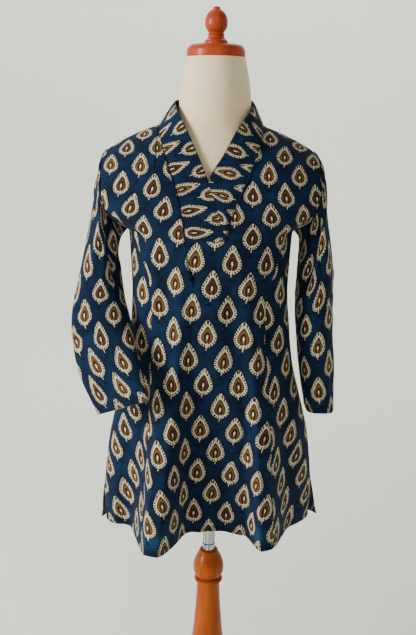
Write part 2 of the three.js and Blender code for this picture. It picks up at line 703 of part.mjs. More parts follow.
function sleeveRing(row, axis) {
  const outer = new THREE.Vector3(...row.outer);
  const inner = new THREE.Vector3(...row.inner);
  const middle = outer.clone().add(inner).multiplyScalar(0.5);
  const across = outer.clone().sub(middle);
  const forwards = axis.clone().cross(across).normalize().multiplyScalar(row.deep);
  if (forwards.y > 0) {
    forwards.negate();
  }
  const ring = [];
  for (let step = 0; step < 2 * ARM_STEPS; step += 1) {
    const angle = Math.PI * step / ARM_STEPS;
    const cosine = Math.cos(angle);
    const sine = Math.sin(angle);
    const size = (Math.abs(cosine) ** row.square + Math.abs(sine) ** row.square) ** (-1 / row.square);
    const point = middle.clone().addScaledVector(across, cosine * size);
    point.addScaledVector(forwards, sine * size);
    point.x += Math.sign(outer.x) * row.bow * sine * sine;
    ring.push(point);
  }
  return ring;
}

function sleeveMiddle(row) {
  return new THREE.Vector3(...row.outer).add(new THREE.Vector3(...row.inner)).multiplyScalar(0.5);
}

function buildSleeve(name, side, table) {
  const seam = armholeRing(side);
  const first = seam.map(({ point }, step) => {
    const angle = Math.PI * step / ARM_STEPS;
    const away = new THREE.Vector3(side, HEAD_PULL * Math.sin(angle), -HEAD_PULL * Math.cos(angle));
    return point.clone().addScaledVector(away.normalize(), SLEEVE_SEAM_GAP);
  });
  const rings = [first];
  table.forEach((row, i) => {
    const before = sleeveMiddle(table[Math.max(i - 1, 0)]);
    const after = sleeveMiddle(table[Math.min(i + 1, table.length - 1)]);
    rings.push(sleeveRing(row, after.sub(before).normalize()));
  });
  const normals = faceNormals(rings, true);
  const outwards = rings[2][0].clone().sub(rings[2][ARM_STEPS]);
  if (normals[2][0].dot(outwards) < 0) {
    normals.forEach((row) => row.forEach((normal) => normal.negate()));
  }
  normals[0] = seam.map(({ normal }) => normal.clone());
  return namedMesh(name, wallGeometry(rings, normals, CLOTH, true), clothMaterial());
}

// ---- the stand ----
function turnedGeometry(profile, topPoint) {
  const outline = [new THREE.Vector2(0, profile[0].height)];
  for (const row of profile) {
    outline.push(new THREE.Vector2(row.radius, row.height));
  }
  outline.push(new THREE.Vector2(0, topPoint));
  const geometry = new THREE.LatheGeometry(outline, SHAPE_SEGMENTS);
  geometry.rotateX(Math.PI / 2);
  return geometry;
}

function turnedMesh(name, profile, material, topPoint = profile[profile.length - 1].height) {
  return namedMesh(name, turnedGeometry(profile, topPoint), material);
}

function buildForm() {
  const points = [new THREE.Vector3(0, 0, FORM_BOTTOM)];
  for (const row of FORM) {
    for (let step = 0; step < SHAPE_SEGMENTS; step += 1) {
      const angle = 2 * Math.PI * step / SHAPE_SEGMENTS;
      const depth = Math.sin(angle) < 0 ? row.front : row.back;
      points.push(new THREE.Vector3(row.halfWidth * Math.cos(angle), depth * Math.sin(angle), row.height));
    }
  }
  const tip = points.length;
  points.push(new THREE.Vector3(0, 0, FORM_TOP));
  const faces = [];
  for (let step = 0; step < SHAPE_SEGMENTS; step += 1) {
    const next = (step + 1) % SHAPE_SEGMENTS;
    faces.push([0, 1 + next, 1 + step]);
    for (let ring = 0; ring < FORM.length - 1; ring += 1) {
      const low = 1 + ring * SHAPE_SEGMENTS;
      const high = low + SHAPE_SEGMENTS;
      faces.push([low + step, low + next, high + next], [low + step, high + next, high + step]);
    }
    const rim = 1 + (FORM.length - 1) * SHAPE_SEGMENTS;
    faces.push([rim + step, rim + next, tip]);
  }
  return namedMesh('torso_form', closedGeometry(points, faces), formMaterial());
}

function tubeProfile(tube) {
  return [{ radius: tube.radius, height: tube.bottom }, { radius: tube.radius, height: tube.top }];
}

function capProfile() {
  return [
    { radius: CAP.radius, height: CAP.bottom },
    { radius: CAP.radius, height: CAP.top - CAP.edge },
    { radius: CAP.radius - CAP.edge / 3, height: CAP.top - CAP.edge / 3 },
    { radius: CAP.radius - CAP.edge, height: CAP.top },
  ];
}

const kurta = new THREE.Group();
kurta.add(
  buildCentreFront(),
  buildSideFront('right_side_front', -1),
  buildSideFront('left_side_front', 1),
  buildBack(),
  bandMesh('right_neck_band', RIGHT_BAND),
  bandMesh('left_neck_band', LEFT_BAND),
  buildSleeve('right_sleeve', -1, RIGHT_SLEEVE),
  buildSleeve('left_sleeve', 1, LEFT_SLEEVE),
);

const stand = new THREE.Group();
stand.add(
  buildForm(),
  turnedMesh('neck_cap', capProfile(), woodMaterial()),
  turnedMesh('finial', FINIAL, woodMaterial(), FINIAL_TIP),
  turnedMesh('upper_tube', tubeProfile(UPPER_TUBE), chromeMaterial()),
  turnedMesh('lower_tube', tubeProfile(LOWER_TUBE), chromeMaterial()),
  turnedMesh('post_ball', BALL, woodMaterial()),
  turnedMesh('post_ring', RING, woodMaterial()),
  turnedMesh('post', POST, woodMaterial()),
  turnedMesh('base', BASE, woodMaterial()),
);

const part = new THREE.Group();
part.add(kurta, stand);

export default part;
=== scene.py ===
import math
from collections import namedtuple

import bmesh
import bpy
import numpy as np
from mathutils import Matrix, Vector


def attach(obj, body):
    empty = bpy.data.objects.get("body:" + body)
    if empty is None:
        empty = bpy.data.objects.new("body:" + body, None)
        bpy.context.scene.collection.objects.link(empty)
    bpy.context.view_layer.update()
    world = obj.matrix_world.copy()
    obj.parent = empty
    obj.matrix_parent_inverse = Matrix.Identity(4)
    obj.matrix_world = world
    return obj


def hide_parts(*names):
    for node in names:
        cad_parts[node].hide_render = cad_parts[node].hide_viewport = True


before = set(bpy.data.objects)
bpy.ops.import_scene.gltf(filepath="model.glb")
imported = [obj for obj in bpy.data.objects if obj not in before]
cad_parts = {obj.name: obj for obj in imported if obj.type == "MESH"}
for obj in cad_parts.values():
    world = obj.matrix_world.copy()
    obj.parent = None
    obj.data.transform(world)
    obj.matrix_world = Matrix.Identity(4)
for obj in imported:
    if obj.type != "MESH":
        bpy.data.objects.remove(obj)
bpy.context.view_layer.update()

MM = 0.001
ROOT = "root"


# ---- camera ----
CAMERA_PLACE = (-0.008, -1.5, 1.38)
CAMERA_DOWN = 14.7  # degrees below level
CAMERA_ROLL = 0.77  # degrees
CAMERA_LENS = 45.07


def make_camera():
    data = bpy.data.cameras.new("camera")
    data.lens = CAMERA_LENS
    data.sensor_width = 36
    data.clip_end = 60
    camera = bpy.data.objects.new("camera", data)
    tilt = Matrix.Rotation(math.radians(90 - CAMERA_DOWN), 4, "X")
    roll = Matrix.Rotation(math.radians(CAMERA_ROLL), 4, "Z")
    camera.matrix_world = Matrix.Translation(CAMERA_PLACE) @ tilt @ roll
    bpy.context.collection.objects.link(camera)
    bpy.context.scene.camera = camera


# ---- small sums ----
def table(kind, *rows):
    return tuple(kind(*row) for row in rows)


def mix(low, high, share):
    return low + (high - low) * share


def smooth(share):
    inside = np.clip(share, 0, 1)
    return inside * inside * (3 - 2 * inside)


def bell(distance, width):
    return np.exp(-(distance / width) ** 2)


def curve(keys, values, place):
    """A smooth curve through a table's column, with no overshoot between its rows."""
    keys = np.asarray(keys, float)
    values = np.asarray(values, float)
    rates = np.diff(values) / np.diff(keys)
    slopes = np.zeros_like(values)
    product = rates[:-1] * rates[1:]
    total = np.where(rates[:-1] + rates[1:] == 0, 1, rates[:-1] + rates[1:])
    slopes[1:-1] = np.where(product > 0, 2 * product / total, 0)
    at = np.clip(place, keys[0], keys[-1])
    row = np.clip(np.searchsorted(keys, at) - 1, 0, len(keys) - 2)
    span = keys[row + 1] - keys[row]
    share = (at - keys[row]) / span
    squared = share * share
    cubed = squared * share
    return (
        (2 * cubed - 3 * squared + 1) * values[row]
        + (cubed - 2 * squared + share) * slopes[row] * span
        + (3 * squared - 2 * cubed) * values[row + 1]
        + (cubed - squared) * slopes[row + 1] * span
    )


def through(keys, values, place):
    """A rounded curve through points or rings, the first axis of values, at each place."""
    keys = np.asarray(keys, float)
    values = np.asarray(values, float)
    slopes = np.gradient(values, keys, axis=0)
    row = np.clip(np.searchsorted(keys, place) - 1, 0, len(keys) - 2)
    shape = (-1,) + (1,) * (values.ndim - 1)
    span = (keys[row + 1] - keys[row]).reshape(shape)
    share = ((place - keys[row]) / (keys[row + 1] - keys[row])).reshape(shape)
    squared = share * share
    cubed = squared * share
    return (
        (2 * cubed - 3 * squared + 1) * values[row]
        + (cubed - 2 * squared + share) * slopes[row] * span
        + (3 * squared - 2 * cubed) * values[row + 1]
        + (cubed - squared) * slopes[row + 1] * span
    )


# ---- the garment's sizes ----
CLOTH = 1.2
BAND_CLOTH = 1.8
SEAM_GAP = 0.3
FOOT_GAP = 0.6
HEM = 553
HEM_TURN = 13
SLIT_TOP = 650
SLIT_PART = 4
UNDERARM = 1162
SHOULDER_TIP = 1306
SHOULDER_CREST = 1366
SHOULDER_FALL = 0.00164
SHOULDER_ROUND = 110
ARMHOLE_FLARE = 0.22
ARMHOLE_FLARE_POWER = 1.2
ARM_STEPS = 12
PRINCESS_STEP = 8
FOLD_GROWTH = 1.4
FOLD_CREST = 1.2
FOLD_NARROWING = 0.3
SWING_TOP = 900
LEFT_SWING = 24
CORNER_OUT = {-1: 11, 1: 20}
HEAD_PULL = 0.6
BAND_RAISED_BY = 0.4
LEAN_FROM = 950

BODY = {
    "height": (553, 610, 675, 750, 790, 840, 900, 975, 1050, 1110, 1162, 1222, 1265, 1303, 1366),
    "centre": (-3, -3, -3, -3, -3, -3, -4, -4, -5, -5, -5, -6, -6, -7, -8),
    "half_width": (211, 214, 209, 199, 190, 177, 163, 154, 149, 151, 154, 220, 240, 240, 240),
    "front": (75, 80, 86, 92, 96, 100, 102, 103, 112, 121, 120, 107, 96, 90, 84),
    "back": (88, 98, 110, 120, 123, 122, 114, 103, 97, 101, 106, 110, 108, 105, 104),
    "squareness": (1.8, 1.85, 1.9, 2, 2.05, 2.1, 2.2, 2.25, 2.3, 2.35, 2.4, 2.5, 2.5, 2.5, 2.5),
}
Fold = namedtuple("Fold", "panel top at_top at_hem right_reach left_reach rise")
FOLDS = table(
    Fold,
    ("front", 1090, -62, -112, 48, 76, 91),
    ("front", 1040, 84, 113, 42, 60, 70),
    ("front", 960, -4, 14, 62, 62, -22),
    ("front", 1130, -40, -38, 24, 26, -12),
    ("front", 900, -150, -168, 26, 24, -14),
    ("back", 1060, -70, -118, 44, 52, 54),
    ("back", 1000, -12, -22, 46, 44, 38),
    ("back", 1080, 58, 88, 50, 58, 62),
    ("back", 930, 20, 34, 30, 28, -20),
    ("back", 960, -52, -68, 30, 28, -16),
)
ARMHOLE = {"angle": (0, 45, 90, 130, 155, 180), "out": (192, 200, 198, 187, 170, 154)}
PRINCESS = {
    "height": (553, 676, 860, 1031, 1110, 1150, 1180),
    "out": (130, 124, 114, 107, 122, 140, 164),
}
PRINCESS_HEIGHTS = (553, 590, 630, 675, 725, 780, 835, 890, 945, 1000, 1050, 1100, 1145, 1180)
BACK_HEIGHTS = (553, 595, 645, 700, 755, 815, 875, 935, 995, 1055, 1110)

# The neck band's halves, from the front end to the centre back: sewn edge, free edge, how far the row lies
# in the front's own surface, and how far it is raised over the other half.
BandRow = namedtuple("BandRow", "sewn free on_body raised")
RIGHT_BAND = table(
    BandRow,
    ((-51, -115, 1155), (16, -118, 1155), 1, 0),
    ((-58, -108, 1200), (8, -112, 1208), 1, 0),
    ((-69, -98, 1245), (-12, -98, 1262), 1, 0),
    ((-84, -82, 1285), (-30, -87, 1304), 0.5, 0),
    ((-95, -64, 1318), (-50, -67, 1345), 0, 0),
    ((-101, -36, 1340), (-68, -40, 1377), 0, 0),
    ((-103, -0.3, 1351), (-74, 0, 1393), 0, 0),
    ((-90, 42, 1346), (-68, 36, 1396), 0, 0),
    ((-64, 61, 1341), (-50, 58, 1397), 0, 0),
    ((-35, 71, 1338), (-28, 69, 1397), 0, 0),
    ((-4.3, 74, 1337), (-3.3, 72, 1397), 0, 0),
)
LEFT_BAND = table(
    BandRow,
    ((23, -117, 1155), (18, -118, 1155), 1, 2.2),
    ((33, -110, 1200), (3, -112, 1218), 1, 3),
    ((52, -100, 1245), (-9, -100, 1260), 1, 3),
    ((69, -85, 1285), (16, -88, 1304), 0.5, 1.3),
    ((81, -66, 1318), (39, -69, 1345), 0, 0),
    ((87, -36, 1340), (63, -41, 1377), 0, 0),
    ((90, -0.3, 1351), (71, 0, 1393), 0, 0),
    ((80, 42, 1346), (63, 36, 1396), 0, 0),
    ((56, 61, 1341), (45, 58, 1397), 0, 0),
    ((27, 71, 1338), (22, 69, 1397), 0, 0),
    ((-3.7, 74, 1337), (-2.7, 72, 1397), 0, 0),
)
BAND_FRONT_ROWS = 6  # the row at the shoulder seam

# The sleeves, from below the armhole to the cuff. Each row is a ring between an outer and an inner point.
SleeveRow = namedtuple("SleeveRow", "outer inner deep bow square")
RIGHT_SLEEVE = table(
    SleeveRow,
    ((-213, -1, 1262), (-175, 0, 1142), 63, 23, 2.2),
    ((-223, -4, 1215), (-180, -4, 1114), 65, 9, 2.2),
    ((-236, -8, 1160), (-175, -8, 1087), 61, 3, 2.2),
    ((-247, -14, 1105), (-171, -16, 1056), 55, 0, 2.2),
    ((-257, -22, 1053), (-166, -26, 1028), 47, 0, 2.2),
    ((-265, -34, 1003), (-157, -48, 1003), 38, 0, 2.3),
    ((-262, -54, 952), (-142, -92, 962), 28, 0, 2.5),
    ((-243, -83, 893), (-127, -131, 918), 17, 0, 3.2),
    ((-210, -110, 825), (-111, -161, 873), 7, 0, 5),
)
LEFT_SLEEVE = table(
    SleeveRow,
    ((200, 0, 1262), (164, 0, 1142), 63, 14, 2.2),
    ((209, 0, 1215), (163, 2, 1106), 65, 8, 2.2),
    ((219, 0, 1160), (162, 2, 1072), 63, 3, 2.2),
    ((228, 2, 1105), (161, 4, 1036), 61, 0, 2.2),
    ((233, 4, 1040), (162, 6, 998), 58, 0, 2.2),
    ((236, 6, 975), (166, 8, 952), 55, 0, 2.3),
    ((239, 8, 915), (171, 9, 906), 51, 0, 2.5),
    ((242, 8, 857), (179, 9, 855), 47, 0, 2.9),
    ((245, 8, 803), (189, 8, 803), 44, 0, 3.6),
)

# Creases, each a start, an end, a bow, a width and a rise: a ridge above zero, a trough below. On the
# body the points are distance from the centre line and height. On a sleeve they are distance round from its
# outer line, forwards above zero, and distance down from the armhole.
BODY_CREASES = {
    "front": (
        ((-172, 1188), (-112, 1132), 4, 7, -3.2),
        ((-166, 1172), (-96, 1090), -5, 6, 2.6),
        ((-158, 1166), (-104, 1046), 6, 7, -3.0),
        ((-186, 1222), (-128, 1186), 3, 9, 2.2),
        ((-190, 1250), (-120, 1222), -4, 10, -2.0),
        ((174, 1190), (118, 1120), -4, 7, -3.0),
        ((166, 1172), (112, 1062), 5, 7, 2.8),
        ((158, 1164), (128, 1030), 3, 6, -2.4),
        ((190, 1236), (126, 1206), 4, 10, -2.2),
        ((188, 1262), (118, 1252), -3, 10, 1.6),
        ((-74, 1140), (-84, 830), -4, 18, -9.0),
        ((-100, 1100), (-112, 880), 3, 11, 2.6),
        ((-30, 1110), (-22, 900), -5, 14, -3.0),
        ((30, 1120), (46, 860), 5, 17, -5.0),
        ((66, 1120), (80, 880), -4, 13, 3.0),
        ((98, 1100), (104, 860), 5, 15, -6.5),
        ((-146, 1010), (-84, 968), 6, 9, 1.8),
        ((148, 1000), (92, 950), -5, 9, -1.8),
    ),
    "back": (
        ((-172, 1190), (-110, 1120), 4, 8, -3.0),
        ((-164, 1170), (-92, 1070), -4, 7, 2.6),
        ((172, 1188), (112, 1126), -5, 8, -3.0),
        ((162, 1168), (100, 1064), 5, 7, 2.4),
        ((-30, 1290), (-58, 1120), 6, 14, -2.0),
        ((36, 1286), (52, 1110), -5, 14, 2.0),
        ((-10, 1130), (-22, 900), 4, 14, -2.6),
        ((-120, 1010), (-40, 960), 7, 10, 2.0),
        ((124, 1004), (52, 948), -6, 10, -2.0),
    ),
}
RIGHT_SLEEVE_CREASES = (
    ((134, 18), (116, 190), 0, 24, -15),
    ((-134, 18), (-116, 150), 0, 24, -10),
    ((60, 36), (10, 120), 8, 8, -3.2),
    ((84, 44), (44, 170), -8, 8, 3.0),
    ((96, 70), (70, 190), 6, 7, -3.0),
    ((24, 30), (-8, 90), 5, 8, 2.2),
    ((-60, 40), (-16, 130), -8, 8, -3.0),
    ((-84, 48), (-50, 180), 7, 8, 2.8),
    ((88, 236), (20, 262), 8, 7, -3.6),
    ((84, 262), (6, 300), -6, 7, 3.2),
    ((80, 292), (14, 322), 6, 6, -3.0),
    ((60, 200), (4, 222), -6, 8, 2.4),
    ((-76, 250), (-20, 280), 6, 8, 2.4),
    ((40, 330), (22, 440), 5, 9, -2.4),
    ((4, 320), (-6, 430), -4, 9, 2.2),
    ((-50, 320), (-40, 440), 4, 9, -2.2),
)
LEFT_SLEEVE_CREASES = (
    ((130, 18), (118, 170), 0, 22, -12),
    ((-130, 18), (-118, 150), 0, 22, -10),
    ((60, 36), (14, 128), 7, 8, -3.4),
    ((86, 42), (42, 176), -8, 8, 3.0),
    ((100, 66), (74, 196), 6, 7, -3.0),
    ((22, 30), (-10, 96), 5, 8, 2.2),
    ((-60, 40), (-18, 134), -8, 8, -3.0),
    ((-86, 48), (-46, 184), 7, 8, 2.8),
    ((70, 214), (8, 250), 8, 9, -2.8),
    ((76, 250), (20, 300), -8, 9, 2.6),
    ((30, 180), (-20, 210), 6, 9, 2.2),
    ((50, 290), (34, 430), 6, 11, -2.8),
    ((16, 300), (10, 440), -5, 10, 2.4),
    ((-50, 260), (-40, 430), 6, 11, -2.6),
    ((84, 320), (72, 450), 4, 10, 2.2),
)


def crease_rise(creases, x, y):
    """Height of the listed creases at places x and y of a surface."""
    total = np.zeros(np.broadcast(x, y).shape)
    for start, end, bow, width, rise in creases:
        run = np.subtract(end, start).astype(float)
        length = np.hypot(*run)
        ahead = run / length
        share = ((x - start[0]) * ahead[0] + (y - start[1]) * ahead[1]) / length
        aside = (x - start[0]) * -ahead[1] + (y - start[1]) * ahead[0]
        aside = aside - bow * 4 * share * (1 - share)
        fade = smooth((share + 0.15) / 0.45) * smooth((1.15 - share) / 0.6)
        total = total + rise * bell(aside, width) * fade
    return total


def slackness(x, y):
    """Small unevenness of hanging cotton, well under a millimetre."""
    return (
        0.34 * np.sin(x / 17.0 + 1.3 * np.sin(y / 61.0)) * np.sin(y / 47.0 + 0.7)
        + 0.24 * np.sin(x / 9.1 + y / 38.0 + 2.1) * np.sin(y / 23.0)
        + 0.2 * np.sin(x / 29.0 - y / 19.0)
    )


# ---- the body's surface ----
def centre_at(height):
    return curve(BODY["height"], BODY["centre"], height)


def shoulder_height(out):
    return SHOULDER_CREST - SHOULDER_FALL * out * out


def armhole_place(angle):
    """Out and height of the armhole seam. Angle 0 is the shoulder tip and pi the underarm."""
    middle = (SHOULDER_TIP + UNDERARM) / 2
    height = middle + (SHOULDER_TIP - middle) * np.cos(angle)
    return curve(ARMHOLE["angle"], ARMHOLE["out"], np.degrees(angle)), height


def armhole_out(height):
    middle = (SHOULDER_TIP + UNDERARM) / 2
    rise = np.clip((height - middle) / (SHOULDER_TIP - middle), -1, 1)
    return curve(ARMHOLE["angle"], ARMHOLE["out"], np.degrees(np.arccos(rise)))


def half_width(height):
    share = np.clip(2 * (height - UNDERARM) / (SHOULDER_TIP - UNDERARM), 0, 1)
    above = armhole_out(height) * (1 + ARMHOLE_FLARE * share**ARMHOLE_FLARE_POWER)
    return np.where(height <= UNDERARM, curve(BODY["height"], BODY["half_width"], height), above)


def edge_out(height):
    return np.where(height <= UNDERARM, half_width(height), armhole_out(height))


def fold_rise(panel, out, height):
    total = np.zeros(np.broadcast(out, height).shape)
    for fold in FOLDS:
        if fold.panel != panel:
            continue
        drop = np.clip((fold.top - height) / (fold.top - HEM), 0, 1)
        middle = mix(fold.at_top, fold.at_hem, drop)
        reach = np.where(out < middle, fold.right_reach, fold.left_reach)
        reach = reach * mix(1 - FOLD_NARROWING, 1, drop)
        across = smooth(FOLD_CREST * (1 - np.abs(out - middle) / reach))
        total = total + fold.rise * drop**FOLD_GROWTH * across
    return total


def open_depth(panel, out, height):
    """Depth of the body in front of or behind the seam plane, before the shoulders round it off."""
    across = np.clip(np.abs(out) / half_width(height), 0, 1)
    squareness = curve(BODY["height"], BODY["squareness"], height)
    section = (1 - across**squareness) ** (1 / squareness)
    return curve(BODY["height"], BODY[panel], height) * section, across


def body_depth(panel, out, height):
    depth, across = open_depth(panel, out, height)
    rounding = np.clip((shoulder_height(out) - height) / SHOULDER_ROUND, 0, 1)
    closing = np.sqrt(1 - (1 - rounding) ** 2)
    return np.maximum(depth * closing + fold_rise(panel, out, height) * (1 - across**6), 0)


def slit_share(height):
    return np.clip((SLIT_TOP - height) / (SLIT_TOP - HEM), 0, 1)


def body_points(panel, out, height):
    across = np.clip(np.abs(out) / half_width(height), 0, 1)
    drop = np.clip((SWING_TOP - height) / (SWING_TOP - HEM), 0, 1)
    swing = np.where(out > 0, LEFT_SWING, 0) * smooth(drop) * across**3
    depth = np.maximum(body_depth(panel, out, height), SEAM_GAP / 2 + SLIT_PART * slit_share(height))
    facing = -1 if panel == "front" else 1
    return np.stack([centre_at(height) + out, facing * depth + swing, height + 0 * out], -1)


SECTION_STEP = 2.0  # spacing of the places where flat lengths are worked out
CHEST = 1165
CHEST_SQUEEZE = 0.32  # the print is shorter above the chest
CHEST_NARROWING = 0.16


def flat_places(panel, out, height, aside=0.0, along=0.0):
    """Where each place of a body panel lies on the flat cloth, in metres."""
    outs = np.arange(-252, 252 + SECTION_STEP, SECTION_STEP)
    heights = np.arange(HEM, SHOULDER_CREST + 4, 4.0)
    depth, across = open_depth(panel, outs[None, :], heights[:, None])
    depth = depth + fold_rise(panel, outs[None, :], heights[:, None]) * (1 - across**6)
    steps = np.hypot(np.diff(depth, axis=1), SECTION_STEP)
    round_it = np.concatenate([np.zeros((len(heights), 1)), np.cumsum(steps, axis=1)], axis=1)
    round_it -= round_it[:, [len(outs) // 2]]
    column = np.clip((out - outs[0]) / SECTION_STEP, 0, len(outs) - 1.001)
    row = np.clip((height - HEM) / 4.0, 0, len(heights) - 1.001)
    j = column.astype(int)
    i = row.astype(int)
    low = mix(round_it[i, j], round_it[i, j + 1], column - j)
    high = mix(round_it[i + 1, j], round_it[i + 1, j + 1], column - j)
    rounding = np.clip((shoulder_height(out) - height) / SHOULDER_ROUND, 0, 1)
    over = 105 * np.arcsin(1 - rounding) - SHOULDER_ROUND * (1 - rounding)
    over = over + CHEST_SQUEEZE * np.maximum(height - CHEST, 0)
    narrowed = 1 + CHEST_NARROWING * smooth((height - CHEST) / 110)
    return np.stack([narrowed * mix(low, high, row - i) + aside, height - HEM + over + along], -1) * MM


# ---- cloth meshes ----
def grid_normals(points, closed):
    if closed:
        along = np.roll(points, -1, axis=1) - np.roll(points, 1, axis=1)
    else:
        along = np.gradient(points, axis=1)
    normals = np.cross(along, np.gradient(points, axis=0))
    return normals / np.maximum(np.linalg.norm(normals, axis=-1, keepdims=True), 1e-9)


def wall_faces(rows, columns, closed):
    """Faces of a closed wall on a grid: outer, inner and rims, as corners and as places on the flat cloth."""
    grid = np.arange(rows * columns).reshape(rows, columns)
    if closed:
        grid = np.hstack([grid, grid[:, :1]])
    chart = np.arange(rows * grid.shape[1]).reshape(rows, -1)

    def quads(index):
        corners = [index[:-1, :-1], index[:-1, 1:], index[1:, 1:], index[1:, :-1]]
        return np.stack(corners, -1).reshape(-1, 4)

    def rim(start, end, start_chart, end_chart, shift):
        faces = np.stack([start, end, end + shift, start + shift], -1)
        return faces, np.stack([start_chart, end_chart, end_chart, start_chart], -1)

    shift = rows * columns
    outer = quads(grid)
    outer_chart = quads(chart)
    rims = [
        rim(grid[0, 1:], grid[0, :-1], chart[0, 1:], chart[0, :-1], shift),
        rim(grid[-1, :-1], grid[-1, 1:], chart[-1, :-1], chart[-1, 1:], shift),
    ]
    if not closed:
        rims.append(rim(grid[:-1, 0], grid[1:, 0], chart[:-1, 0], chart[1:, 0], shift))
        rims.append(rim(grid[1:, -1], grid[:-1, -1], chart[1:, -1], chart[:-1, -1], shift))
    corners = np.vstack([outer, outer[:, ::-1] + shift] + [faces for faces, _ in rims])
    places = np.vstack([outer_chart, outer_chart[:, ::-1]] + [flat for _, flat in rims])
    inside = np.zeros(len(corners), int)
    inside[len(outer):2 * len(outer)] = 1
    return corners, places, inside


FAR = 99.0  # a distance from stitches or a seam at which they no longer show


def cloth_piece(
    name, points, flat, thickness, finishes, outwards=1, closed=False,
    normals=None, from_stitches=FAR, painted_light_through=0.0,
):
    """A wall of cloth behind a grid of points, closed all round, with its flat places as its UV map."""
    rows, columns = points.shape[:2]
    if normals is None:
        normals = grid_normals(points, closed) * outwards
    depth = np.broadcast_to(np.asarray(thickness, float), (rows, columns))
    inner = points - normals * depth[..., None]
    corners, places, inside = wall_faces(rows, columns, closed)
    if outwards < 0:
        corners = corners[:, ::-1]
        places = places[:, ::-1]
    mesh = bpy.data.meshes.new(name)
    vertices = np.vstack([points.reshape(-1, 3), inner.reshape(-1, 3)]) * MM
    mesh.from_pydata(vertices.tolist(), [], corners.tolist())
    chart = mesh.uv_layers.new(name="flat_cloth")
    chart.data.foreach_set("uv", flat.reshape(-1, 2)[places].astype(np.float32).ravel())
    # Two point attributes: the distance from stitches, and the share of painted light shining through the
    # cloth.
    for attribute, values in (("from_stitches", from_stitches), ("painted_light_through", painted_light_through)):
        given = np.broadcast_to(np.asarray(values, np.float32), (rows, columns))
        mesh.attributes.new(attribute, "FLOAT", "POINT").data.foreach_set("value", np.tile(given.ravel(), 2))
    mesh.polygons.foreach_set("use_smooth", np.ones(len(corners), bool))
    for finish in finishes:
        mesh.materials.append(finish)
    mesh.polygons.foreach_set("material_index", inside)
    mesh.update()
    piece = bpy.data.objects.new(name, mesh)
    bpy.context.collection.objects.link(piece)
    sharpen_rims(piece)
    return piece


def sharpen_rims(piece):
    bpy.ops.object.select_all(action="DESELECT")
    piece.select_set(True)
    bpy.context.view_layer.objects.active = piece
    bpy.ops.object.shade_smooth_by_angle(angle=math.radians(50))


def finished(piece, node):
    piece.name = node + "_finished"
    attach(piece, ROOT)
    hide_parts(node)
    return piece


# ---- the neck band ----
BAND_ROWS_EACH = 12
BAND_COLUMNS = 26
BAND_PRINT = {-1: (12.0, 22.0), 1: (30.0, 20.0)}  # where each half was cut from the printed cloth
BAND_SQUEEZE = 1.58  # the bands' print is narrower along the band
BAND_STITCHES = 1.8  # from the edge


def band_rows(band, steps):
    """The band's edges at fractional rows."""
    sewn = np.array([row.sewn for row in band], float)
    free = np.array([row.free for row in band], float)
    places = np.arange(len(band), dtype=float)
    return (
        through(places, sewn, steps),
        through(places, free, steps),
        curve(places, [row.on_body for row in band], steps),
        curve(places, [row.raised for row in band], steps),
    )


def band_points(band, steps, shares):
    sewn, free, on_body, raised = band_rows(band, steps)
    points = mix(sewn[:, None], free[:, None], shares[None, :, None])
    out = points[..., 0] - centre_at(points[..., 2])
    surface = -body_depth("front", out, points[..., 2])
    points[..., 1] = mix(points[..., 1], surface, on_body[:, None])
    points[..., 1] -= raised[:, None] * np.clip(shares[None] / BAND_RAISED_BY, 0, 1)
    return points


def band_seam(band, steps):
    """Out, height and the whole place of the neckline that a band is sewn to."""
    edges = band_points(band, steps, np.array([0.0, 1.0]))
    outwards = edges[:, 0] - edges[:, 1]
    outwards /= np.linalg.norm(outwards, axis=-1, keepdims=True)
    sewn = band_rows(band, steps)[0]
    return sewn[:, 0] - centre_at(sewn[:, 2]), sewn[:, 2], edges[:, 0] + 1.8 * SEAM_GAP * outwards


def make_band(node, band, side, finishes):
    steps = np.linspace(0, len(band) - 1, BAND_ROWS_EACH * (len(band) - 1) + 1)
    shares = np.sin(np.linspace(0, math.pi / 2, BAND_COLUMNS)) ** 2
    points = band_points(band, steps, shares)
    lengths = np.linalg.norm(np.diff(points[:, BAND_COLUMNS // 2], axis=0), axis=-1)
    along = np.concatenate([[0], np.cumsum(lengths)])
    widths = np.linalg.norm(points[:, -1] - points[:, 0], axis=-1)
    across = widths[:, None] * shares[None]
    edge = np.minimum(across, widths[:, None] - across)
    normals = grid_normals(points, False) * -side
    padded = 0.5 * np.sin(along / 21)[:, None] * np.sin(math.pi * shares) + 0.6 * (1 - bell(edge, 4.5))
    points = points + normals * (padded - 0.6)[..., None]
    print_along, print_across = BAND_PRINT[side]
    squeezed = np.broadcast_to(-side * BAND_SQUEEZE * along[:, None], across.shape)
    flat = np.stack([squeezed + print_along, across + print_across], -1) * MM
    return cloth_piece(node, points, flat, BAND_CLOTH, finishes, -side, from_stitches=edge - BAND_STITCHES)


# ---- the body's panels ----
FINE_ROWS = 8  # rows of the fine mesh for each row of the frame's
FINE_COLUMNS = 7
SHOULDER_COLUMNS = 4
FOOT_COLUMNS = 2
SEAM_FURROW = (0.9, 2.2)  # depth and width
HEM_FURROW = (0.5, 1.6)
ARMHOLE_FURROW = (1.2, 5)
EDGE_COLUMNS = 34  # crowded towards a side seam, where the section turns fast


def princess_out(height):
    tip_out, tip_height = armhole_place(math.pi * PRINCESS_STEP / ARM_STEPS)
    keys = PRINCESS["height"] + (float(tip_height),)
    return curve(keys, PRINCESS["out"] + (float(tip_out),), height)


def centre_front_out(height):
    seam = armhole_place(math.pi * PRINCESS_STEP / ARM_STEPS)[1]
    return np.where(height < seam, princess_out(height) - SEAM_GAP / 2, armhole_out(height))


def fine(heights, each):
    keys = np.arange(len(heights), dtype=float)
    return np.interp(np.linspace(0, len(heights) - 1, each * (len(heights) - 1) + 1), keys, heights)


def edge_heights(seam_heights, from_step):
    angles = np.linspace(from_step, 0, from_step * FINE_ROWS + 1) * math.pi / ARM_STEPS
    return np.concatenate([fine(seam_heights, FINE_ROWS), armhole_place(angles)[1]])


